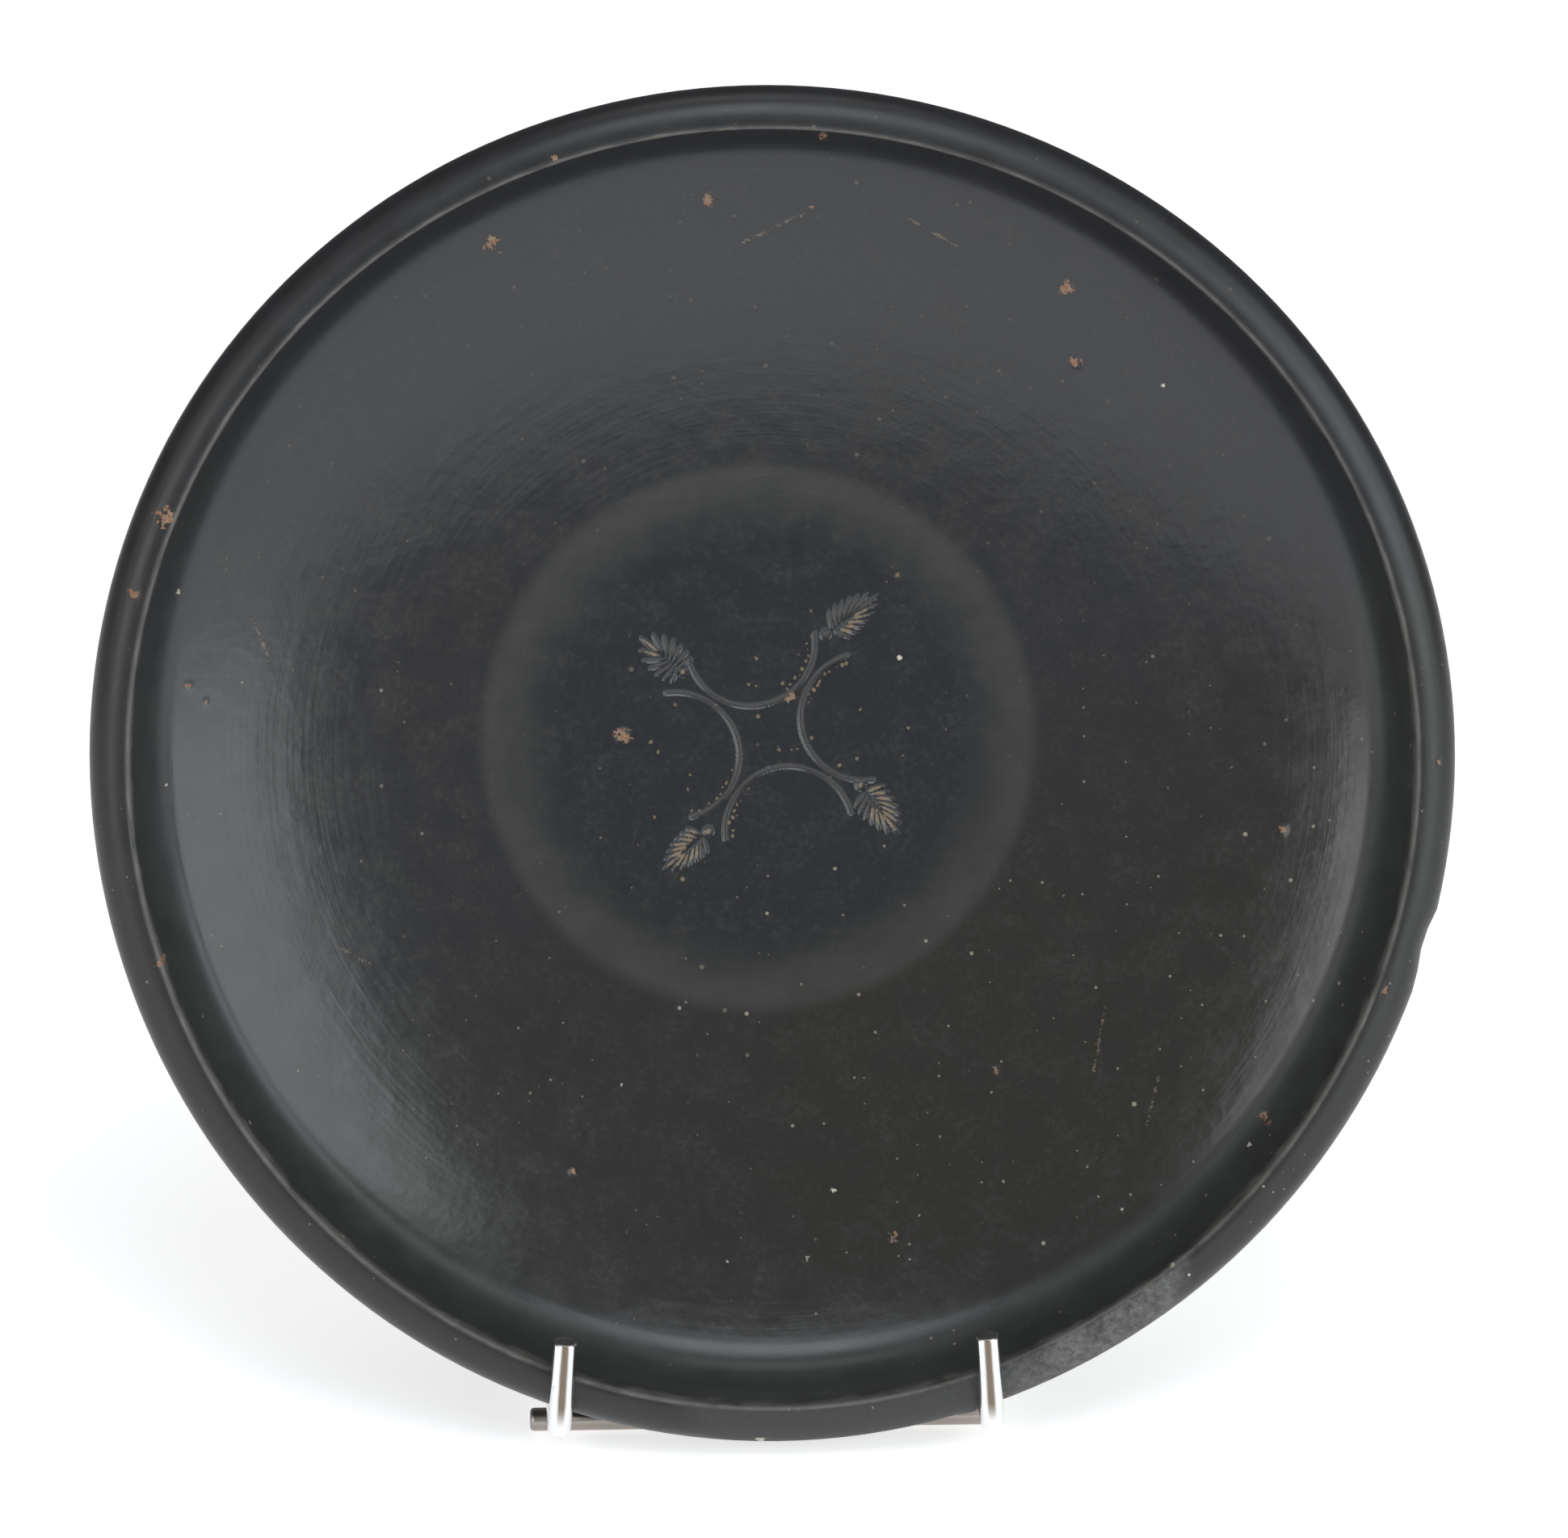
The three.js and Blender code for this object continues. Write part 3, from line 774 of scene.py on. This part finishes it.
black = glaze.mix(brownness_and_reflection, BLUE_BLACK_AND_REFLECTION, OLIVE_BLACK)
black = glaze.mix(in_ring * TEAL_SHARE, black, TEAL_BLACK)
black = glaze.mix(in_band * (0.35 + mottle * 0.7), black, RING_OLIVE)
black = glaze.mix(dusty * DUST_SHARE, black, DUSTY_BLACK)
# Painted shade: the rolled rim is made darker, broken up by the mottling.
black = glaze.mix(on_roll * (1.1 - mottle), black, ROLL_SHADE_BLACK)
print("blacks mixed")

# %% [markdown]
# ## Wear, chips and the mended rim
# Each kind of wear is a mask between 0 and 1 and a colour; the groove and crest masks also carry a painted
# highlight. The marks kept on the mesh are broken up by noise before they are cut to a hard edge, because a
# chip in glaze has a ragged outline. Tiny pits all over come from a cell pattern in which only a few cells,
# chosen by their random colour, hold a speck.

# %% Add the wear
# Pale grey of the stamp's lines: wear, and on the grooves a painted highlight of their edges.
WORN_LINE_AND_HIGHLIGHT = colour(0.048, 0.046, 0.041)
FIRED_CLAY = colour(0.200, 0.085, 0.045)
LIME = colour(0.46, 0.42, 0.35)
TAN = colour(0.22, 0.165, 0.105)
MEND_GREY = colour(0.034, 0.034, 0.033)
MEND_DARK = colour(0.026, 0.025, 0.024)
MEND_PALE = colour(0.130, 0.128, 0.125)
# The crest's pale line: worn glaze with a painted highlight on top.
CREST_WEAR_AND_HIGHLIGHT = colour(0.200, 0.190, 0.170)
# Painted sheen on the lower wall.
WALL_PAINTED_SHEEN = colour(0.040, 0.042, 0.041)
MENDED_WIDE_MIDDLE = math.radians(285)
MENDED_WIDE_HALF = math.radians(21)


def cut_mark(name, broken_by, low, high):
    """A mark that the mesh keeps, broken up by noise and cut to a ragged edge."""
    return glaze.step(glaze.mark(name) + broken_by, low, high)


fine = flecks - 0.5
ragged = (grain - 0.5) * 0.7 + (mottle - 0.5) * 0.5
clay_mask = cut_mark("clay", fine * 1.9, 0.58, 0.78)
lime_mask = cut_mark("lime", fine * 1.1, 0.60, 0.82)
pale_mask = cut_mark("pale", fine * 1.3, 0.5, 0.8)
scratch_mask = cut_mark("scratch", fine * 1.6 + ragged * 0.5, 0.55, 0.9)
# The grooves' pale line is wear and a painted highlight of the groove edges.
groove_wear_and_highlight_mask = cut_mark("groove", ragged * 0.3, 0.25, 0.8)
petal_mask = cut_mark("petals", ragged * 0.4, 0.3, 0.85)
# The crest line, worn and with a painted highlight.
crest_wear_and_highlight_mask = cut_mark("crest", (mottle - 0.5) * 1.2, 0.40, 0.95)
print("marks cut:", len(glaze.tree.nodes), "nodes")

# %% [markdown]
# ## Pits, the wall and the mend
# The pits are thickest where the clouds are, and fewer on the upper half. The mend follows the roll for a
# part of its turn, and its outline leans inwards with the distance from the middle. The steep wall is painted
# paler towards the bottom, a painted sheen that fades out higher up.

# %% Scatter the pits and lay out the mend
SPECKLE_SOFT = 0.05
PIT_CLOUDS = (0.30, 0.62)
PIT_FADE_UP = (-40.0, 50.0)
WALL_EDGE = (100.0, 103.0)
WALL_SHEEN_FADE_UP = (-10.0, 90.0)
MEND_WANDER = 0.012
MEND_SLANT = 0.004
MEND_EDGE = (math.cos(MENDED_WIDE_HALF) - 0.470, math.cos(MENDED_WIDE_HALF) - 0.442)
MEND_ON_ROLL = (0.25, 0.75)


def speckle(scale, rare, size):
    """A mask of scattered specks: one cell in so many holds one, and no two are the same size."""
    cells = glaze.node("TexVoronoi", None, {"Vector": place, "Scale": scale}, "Distance")
    cell_colour = Value(glaze, cells.socket.node.outputs["Color"])
    cell_luck = glaze.node("SeparateColor", None, {"Color": cell_colour}, "Red")
    return glaze.step((cell_luck - rare) * size - cells, 0.0, SPECKLE_SOFT)


pits = glaze.sum("MAXIMUM", speckle(260.0, 0.66, 0.42), speckle(560.0, 0.70, 0.6) * 0.7)
pits = pits * glaze.step(clouds + (mottle - 0.5) * 0.8, *PIT_CLOUDS)
pits = pits * (1.0 - glaze.step(up, *PIT_FADE_UP) * 0.75)
on_wall = glaze.step(from_middle, *WALL_EDGE) * (1 - on_roll)
# Painted sheen: the wall is painted paler towards the bottom, fading out higher up.
wall_sheen_mask = on_wall * (1 - glaze.step(up, *WALL_SHEEN_FADE_UP))
toward_mend = cosine * math.cos(MENDED_WIDE_MIDDLE) + sine * math.sin(MENDED_WIDE_MIDDLE)
in_mend = glaze.step(toward_mend + (mottle - 0.5) * MEND_WANDER - from_middle * MEND_SLANT, *MEND_EDGE)
mend_mask = in_mend * glaze.step(on_roll + fine * 0.8, *MEND_ON_ROLL)
print("pits and mend laid out:", len(glaze.tree.nodes), "nodes")

# %% [markdown]
# ## Lay the wear and the painted light over the black
# Wear is laid on in the order in which it happened, and the painted light with it: the stamp's lines first,
# worn and with a painted highlight on the grooves, then the painted sheen on the lower wall and the crest's
# wear with its painted highlight, then the mend, and last the scratches, pits and chips that cut through
# everything.

# %% Colour the wear and the painted light
MEND_PALE_EDGE = (0.25, 0.45)
MEND_BLOTCHES = (0.55, 1.45)
CLAY_BLOTCHES = (0.42, 0.62)

# The grooves are painted pale: worn edges and a painted highlight.
skin = glaze.mix(groove_wear_and_highlight_mask * 0.6, black, WORN_LINE_AND_HIGHLIGHT)
skin = glaze.mix(petal_mask * 0.7, skin, WORN_LINE_AND_HIGHLIGHT)
skin = glaze.mix(pale_mask * 0.7, skin, TAN)
# Painted sheen on the lower wall, broken up by the mottling.
skin = glaze.mix(wall_sheen_mask * (0.25 + mottle * 0.8), skin, WALL_PAINTED_SHEEN)
# The crest's pale line is wear and a painted highlight.
skin = glaze.mix(crest_wear_and_highlight_mask * 0.5, skin, CREST_WEAR_AND_HIGHLIGHT)
mend_tone = glaze.mix(glaze.step(cosine, *MEND_PALE_EDGE), MEND_GREY, MEND_PALE)
mend_colour = glaze.mix(glaze.step(mottle + flecks, *MEND_BLOTCHES), MEND_DARK, mend_tone)
skin = glaze.mix(mend_mask, skin, mend_colour)
skin = glaze.mix(scratch_mask * 0.45, skin, TAN)
skin = glaze.mix(pits * 0.7, skin, glaze.mix(mottle, TAN, LIME))
clay_colour = glaze.mix(glaze.step(grain, *CLAY_BLOTCHES), FIRED_CLAY, TAN)
skin = glaze.mix(clay_mask, skin, clay_colour)
skin = glaze.mix(lime_mask, skin, LIME)
print("wear added:", len(glaze.tree.nodes), "nodes")

# %% [markdown]
# ## Sheen and fine relief
# The sheen is a broad satin that varies with the mottling and the wheel lines. It is duller on the wall,
# the roll, the mend and bare clay. Wheel lines and mottling go through one Bump node, which is weaker on
# the steep wall.

# %% Finish the glaze
SATIN = 0.21
WALL_RELIEF = 0.2
RELIEF_DEPTH = 0.12 * MM
# How much each mask adds to the roughness.
DULLER = [(in_band, 0.05), (on_roll, 0.18), (on_wall, 0.13), (mend_mask, 0.25), (petal_mask, 0.10)]

bare = glaze.sum("MAXIMUM", clay_mask, lime_mask)
roughness = SATIN + (mottle - 0.5) * 0.20 + (wheel_lines - 0.5) * 0.06 + fine * on_floor * 0.10 + bare * 0.30
for mask, amount in DULLER:
    roughness = roughness + mask * amount
relief = (wheel_lines - 0.5) * 0.35 + (mottle - 0.5) * 1.4
relief = relief * (on_floor * (1 - WALL_RELIEF) + WALL_RELIEF)
bump = glaze.node("Bump", None, {"Strength": 0.5, "Distance": RELIEF_DEPTH, "Height": relief})
glaze.finish_with(glaze.node("BsdfPrincipled", None, {
    "Base Color": skin, "Roughness": roughness, "Normal": bump, "IOR": 1.5}))
plate.data.materials.clear()
plate.data.materials.append(glaze.material)
print("glaze finished:", len(glaze.tree.nodes), "nodes")

# %% [markdown]
# ## The side wires
# Each side of the stand is one wire: a hook in front, a ledge under the plate, a back rail behind it, and a
# leg down to a toe on the table. By hand it would be drawn as a bevelled curve. Here a disc is extruded
# along the straights and spun round every bend, so each bend is a true arc as the wire bender made it.

# %% Work out the wire's corners
STAND_X = -0.6 * MM
WIRE_LEAN_IN = math.radians(3.8)
HOOK_TIP_Z = 24 * MM
TOP_CORNER_UP = 90 * MM
LEG_ANGLE = math.radians(14)
TOE_LENGTH = 15 * MM
HOOK_BEND = 5 * MM
LEDGE_BEND = 8 * MM
TOP_BEND = 8 * MM
TOE_BEND = 6 * MM

rest_y = FOOT_CENTRE.y + STAND_OFF * math.cos(PLATE_LEAN)
rest_z = FOOT_CENTRE.z - STAND_OFF * math.sin(PLATE_LEAN)
back_y = rest_y - (rest_z - LEDGE_Z) * math.tan(PLATE_LEAN)
top_y = rest_y + TOP_CORNER_UP * math.sin(PLATE_LEAN)
top_z = rest_z + TOP_CORNER_UP * math.cos(PLATE_LEAN)
toe_y = top_y + (top_z - LEDGE_Z) * math.tan(LEG_ANGLE)

# Each corner from the hook's tip on: place from front to back, height, and bend radius, none at the ends.
WIRE_CORNERS = [
    (HOOK_Y, HOOK_TIP_Z, 0),
    (HOOK_Y, LEDGE_Z, HOOK_BEND),
    (back_y, LEDGE_Z, LEDGE_BEND),
    (top_y, top_z, TOP_BEND),
    (toe_y, LEDGE_Z, TOE_BEND),
    (toe_y + TOE_LENGTH, LEDGE_Z, 0),
]


def wire_point(side, y, z):
    """A point on one side wire's sloping plane: -1 is the left wire and 1 the right one."""
    return Vector((STAND_X + side * (HALF_SPACING - (z - LEDGE_Z) * math.tan(WIRE_LEAN_IN)), y, z))


print("wire rises to", round(top_z / MM, 1), "mm and ends", round((toe_y + TOE_LENGTH) / MM, 1), "mm back")

# %% [markdown]
# ## Bend the wires
# A filled circle is the wire's cut end. Extruding it moves the selected face along and leaves the wire's
# wall behind it, and Spin does the same round a bend's centre. Both ends are bevelled last, since a wire
# stand's ends are rounded so that they don't scratch.

# %% Extrude and spin both wires
WIRE_SIDES = 24
BEND_STEPS = 10
END_ROUNDING = 0.45 * MM


def round_ends(piece, ends, amount):
    """Bevel the rim of the flat faces that lie at the given ends."""
    only(piece)
    bpy.ops.object.mode_set(mode="EDIT")
    bpy.ops.mesh.select_mode(type="FACE")
    bpy.ops.mesh.select_all(action="DESELECT")
    bpy.ops.object.mode_set(mode="OBJECT")
    for face in piece.data.polygons:
        face.select = any((face.center - end).length < 0.2 * MM for end in ends)
    bpy.ops.object.mode_set(mode="EDIT")
    bpy.ops.mesh.bevel(offset=amount, segments=4, affect="EDGES")
    bpy.ops.mesh.select_all(action="SELECT")
    bpy.ops.mesh.remove_doubles(threshold=MERGE_REACH)
    bpy.ops.mesh.normals_make_consistent(inside=False)
    bpy.ops.object.mode_set(mode="OBJECT")


def bent_wire(name, side):
    """One side wire of the stand, from the hook's tip to the toe."""
    corners = [(wire_point(side, y, z), bend) for y, z, bend in WIRE_CORNERS]
    start = corners[0][0]
    heading = (corners[1][0] - start).normalized()
    bpy.ops.object.select_all(action="DESELECT")
    bpy.ops.mesh.primitive_circle_add(vertices=WIRE_SIDES, radius=WIRE_RADIUS, fill_type="NGON", location=start,
                                      rotation=heading.to_track_quat("Z", "Y").to_euler())
    wire = bpy.context.object
    wire.name = name
    bpy.ops.object.transform_apply(location=True, rotation=True, scale=True)
    bpy.ops.object.mode_set(mode="EDIT")
    bpy.ops.mesh.select_mode(type="FACE")
    bpy.ops.mesh.select_all(action="SELECT")
    reached = start
    for (corner, bend), (following, _) in zip(corners[1:-1], corners[2:]):
        leaving = (following - corner).normalized()
        turn = heading.angle(leaving)
        bend_start = corner - heading * (bend * math.tan(turn / 2))
        bend_axis = heading.cross(leaving).normalized()
        bend_centre = bend_start + bend_axis.cross(heading) * bend
        bpy.ops.mesh.extrude_region_move(TRANSFORM_OT_translate={"value": bend_start - reached})
        bpy.ops.mesh.spin(steps=BEND_STEPS, angle=-turn, center=bend_centre, axis=bend_axis)
        reached = corner + leaving * (bend * math.tan(turn / 2))
        heading = leaving
    bpy.ops.mesh.extrude_region_move(TRANSFORM_OT_translate={"value": corners[-1][0] - reached})
    bpy.ops.object.mode_set(mode="OBJECT")
    round_ends(wire, (start, corners[-1][0]), END_ROUNDING)
    only(wire)
    bpy.ops.object.shade_smooth_by_angle(angle=math.radians(40))
    return wire


left_wire = bent_wire("left_wire", -1)
right_wire = bent_wire("right_wire", 1)
for wire, node in ((left_wire, "stand_left_wire"), (right_wire, "stand_right_wire")):
    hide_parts(node)
    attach(wire, "root")
    print(wire.name, [round(v / MM, 1) for v in wire.dimensions], "mm")

# %% [markdown]
# ## The cross rods
# Two straight rods lie on the table and tie the side wires together, one under the ledges and one under the
# toes. Each is a cylinder with rounded ends, and at each crossing a small flattened bead of weld joins it
# to the wire above.

# %% Make the two rods with their welds
FRONT_ROD_Y = HOOK_Y + 16.2 * MM
REAR_ROD_Y = toe_y + 8 * MM
FRONT_ROD_ENDS = (STAND_X - 41.4 * MM, STAND_X + 37.6 * MM)
REAR_ROD_ENDS = (STAND_X - 40 * MM, STAND_X + 40 * MM)
ROD_ROUNDING = 0.7 * MM
WELD_RADIUS = 1.5 * MM
WELD_HALF_LENGTH = 0.9 * MM
WELD_HALF_HEIGHT = 0.75 * MM
WELD_Z = 2 * WIRE_RADIUS + TOUCH_GAP / 2


def cross_rod(name, ends, y):
    """A straight rod on the table with a weld bead under each side wire."""
    length = ends[1] - ends[0]
    middle = Vector(((ends[0] + ends[1]) / 2, y, WIRE_RADIUS))
    bpy.ops.object.select_all(action="DESELECT")
    bpy.ops.mesh.primitive_cylinder_add(vertices=WIRE_SIDES, radius=WIRE_RADIUS, depth=length, location=middle,
                                        rotation=(0, math.pi / 2, 0))
    rod = bpy.context.object
    rod.name = name
    bpy.ops.object.transform_apply(location=True, rotation=True, scale=True)
    round_ends(rod, [Vector((x, y, WIRE_RADIUS)) for x in ends], ROD_ROUNDING)
    for side in (-1, 1):
        crossing = wire_point(side, y, LEDGE_Z)
        bpy.ops.object.mode_set(mode="EDIT")
        bpy.ops.mesh.select_all(action="DESELECT")
        bpy.ops.mesh.primitive_uv_sphere_add(segments=16, ring_count=8, radius=WELD_RADIUS,
                                             location=(crossing.x, y, WELD_Z),
                                             scale=(WELD_HALF_LENGTH / WELD_RADIUS, 1,
                                                    WELD_HALF_HEIGHT / WELD_RADIUS))
        bpy.ops.object.mode_set(mode="OBJECT")
    only(rod)
    bpy.ops.object.shade_smooth_by_angle(angle=math.radians(40))
    return rod


front_rod = cross_rod("front_rod", FRONT_ROD_ENDS, FRONT_ROD_Y)
rear_rod = cross_rod("rear_rod", REAR_ROD_ENDS, REAR_ROD_Y)
for rod, node in ((front_rod, "stand_front_rod"), (rear_rod, "stand_rear_rod")):
    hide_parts(node)
    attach(rod, "root")
    print(rod.name, [round(v / MM, 1) for v in rod.dimensions], "mm")

# %% [markdown]
# ## Chrome
# Chrome has no colour of its own: it shows the white table, the dark plate and the lights. What makes it
# look used is a slightly uneven polish, with dull freckles where the plating is thin. The brown streak down
# the front of each hook and the brownish rods below are painted reflections: the hooks of a dark brown
# surface in front, the rods of the shaded table and the plate's underside.

# %% Make the chrome
PLATING = colour(0.80, 0.80, 0.80)
# The colour of thin plating, also used for the painted brown reflection on the hooks and rods.
THIN_PLATING_AND_REFLECTION = colour(0.20, 0.16, 0.12)
STREAK_HALF_WIDTH = 0.55 * MM
STREAK_EDGE = (STREAK_HALF_WIDTH, 2 * STREAK_HALF_WIDTH)
STREAK_WANDER = 0.4 * MM
HOOK_FRONT_EDGE = (HOOK_Y - WIRE_RADIUS, HOOK_Y - 0.5 * WIRE_RADIUS)
HOOK_FOOT_EDGE = (1.2 * LEDGE_Z, 2 * LEDGE_Z)
ROD_TOP_EDGE = (2 * WIRE_RADIUS, LEDGE_Z - WIRE_RADIUS + TOUCH_GAP)
FRECKLE_EDGE = (0.62, 0.75)

chrome = Finish("polished_chrome")
chrome_place = chrome.node("TexCoord", None, None, "Object")
freckles = chrome.noise(chrome_place, 900.0, 3.0)
smears = chrome.noise(chrome_place, 120.0, 2.0)
chrome_parts = chrome.node("SeparateXYZ", None, {"Vector": chrome_place})
across = Value(chrome, chrome_parts.socket.node.outputs["X"])
along = Value(chrome, chrome_parts.socket.node.outputs["Y"])
level = Value(chrome, chrome_parts.socket.node.outputs["Z"])

from_stand = chrome.sum("ABSOLUTE", across - STAND_X)
off_wire = chrome.sum("ABSOLUTE", from_stand + (level - LEDGE_Z) * math.tan(WIRE_LEAN_IN) - HALF_SPACING)
hook_front = (1 - chrome.step(along, *HOOK_FRONT_EDGE)) * chrome.step(level, *HOOK_FOOT_EDGE)
# Painted reflection: a brown streak down the front of each hook, where the chrome would mirror a dark brown
# surface.
reflection_streak = hook_front * (1 - chrome.step(off_wire + smears * STREAK_WANDER, *STREAK_EDGE))
on_rod = 1 - chrome.step(level, *ROD_TOP_EDGE)
# Painted reflection: the rods are painted brownish, as if mirroring the shaded table and the plate's underside.
painted_reflection = chrome.sum("MAXIMUM", reflection_streak, on_rod * 0.75)
# Dull freckles of thin plating, together with the painted reflections.
dull_and_reflection = chrome.sum("MAXIMUM", chrome.step(freckles, *FRECKLE_EDGE) * 0.5, painted_reflection)
chrome_roughness = 0.10 + smears * 0.10 + dull_and_reflection * 0.2
chrome_bump = chrome.node("Bump", None, {"Strength": 0.12, "Distance": 0.0001, "Height": freckles})
chrome.finish_with(chrome.node("BsdfPrincipled", None, {
    "Base Color": chrome.mix(dull_and_reflection, PLATING, THIN_PLATING_AND_REFLECTION), "Metallic": 1.0,
    "Roughness": chrome_roughness, "Normal": chrome_bump}))
for piece in (left_wire, right_wire, front_rod, rear_rod):
    piece.data.materials.clear()
    piece.data.materials.append(chrome.material)
print("chrome finished:", len(chrome.tree.nodes), "nodes")

# %% [markdown]
# ## The white sweep
# The photograph was taken on a white sweep under large soft lights, so the floor is white and its shadows
# are faint. A little light of the paper's own keeps it white as far as the frame's upper edge.

# %% Lay the floor
FLOOR_SIZE = 4.0
FLOOR_FRONT_EDGE = -1.1
FLOOR_GLOW = 0.72
bpy.ops.object.select_all(action="DESELECT")
bpy.ops.mesh.primitive_plane_add(size=FLOOR_SIZE, location=(0, FLOOR_FRONT_EDGE + FLOOR_SIZE / 2, 0))
bpy.ops.object.transform_apply(location=True, rotation=True, scale=True)
floor = bpy.context.object
floor.name = "pale_floor"
paper = Finish("white_sweep")
PAPER_WHITE = colour(0.88, 0.88, 0.88)
paper.finish_with(paper.node("BsdfPrincipled", None, {
    "Base Color": PAPER_WHITE, "Roughness": 0.9,
    "Emission Color": PAPER_WHITE, "Emission Strength": FLOOR_GLOW}))
floor.data.materials.append(paper.material)
print("floor laid")

# %% [markdown]
# ## The lights
# A black gloss is lit by what it mirrors. The light at the right front draws the broad streak in the lower
# left of the dish, and a smaller one at the left front draws the streak at the right. The one high in front
# glints on the turn of the wall at the bottom, those at the sides and overhead light the roll and the
# paper, and a dim wall of light behind the camera stands for the room in front.

# %% Hang the lights
def soft_light(name, azimuth_deg, elevation_deg, distance, width, depth, radiance, tint):
    """A rectangular soft light that faces the plate from a direction, 0 degrees being straight in front."""
    azimuth = math.radians(azimuth_deg)
    elevation = math.radians(elevation_deg)
    toward = Vector((
        math.sin(azimuth) * math.cos(elevation),
        -math.cos(azimuth) * math.cos(elevation),
        math.sin(elevation),
    ))
    data = bpy.data.lights.new(name, "AREA")
    data.shape = "RECTANGLE"
    data.size = width
    data.size_y = depth
    data.energy = radiance * math.pi * width * depth
    data.color = tint
    light = bpy.data.objects.new(name, data)
    bpy.context.collection.objects.link(light)
    light.matrix_world = Matrix.Translation(rim_middle + toward * distance) @ toward.to_track_quat(
        "Z", "Y").to_matrix().to_4x4()


COOL = (0.91, 0.97, 0.99)
BLUISH = (0.86, 0.91, 1.0)
PLAIN = (1.0, 1.0, 1.0)
# Each light: azimuth, elevation, distance, width, depth, radiance and tint.
LIGHTS = {
    "right_front": (38, 13, 1.8, 0.92, 1.12, 3.3, COOL),
    "right_side": (66, 21, 1.8, 0.50, 1.10, 2.8, COOL),
    "right_high": (62, 52, 1.7, 0.70, 0.50, 1.3, PLAIN),
    "left_front": (-40, 13, 1.8, 0.56, 0.95, 3.4, PLAIN),
    "left_side": (-66, 21, 1.8, 0.50, 1.10, 1.0, PLAIN),
    "left_high": (-62, 52, 1.7, 0.70, 0.50, 0.6, PLAIN),
    "front_high": (5, 54, 1.7, 0.80, 0.75, 4.8, BLUISH),
    "front_wall": (0, 18, 2.6, 2.6, 2.0, 0.17, PLAIN),
    "overhead": (180, 85, 1.8, 0.90, 0.50, 2.0, PLAIN),
}
for name, settings in LIGHTS.items():
    soft_light(name, *settings)

world = bpy.data.worlds.new("studio")
bpy.context.scene.world = world
world.use_nodes = True
ROOM_GREY = colour(0.17, 0.174, 0.182)
world.node_tree.nodes["Background"].inputs["Color"].default_value = ROOM_GREY
bpy.context.scene.view_settings.view_transform = "Standard"
print("lights hung")

# %% [markdown]
# ## Finish


print("scene built")
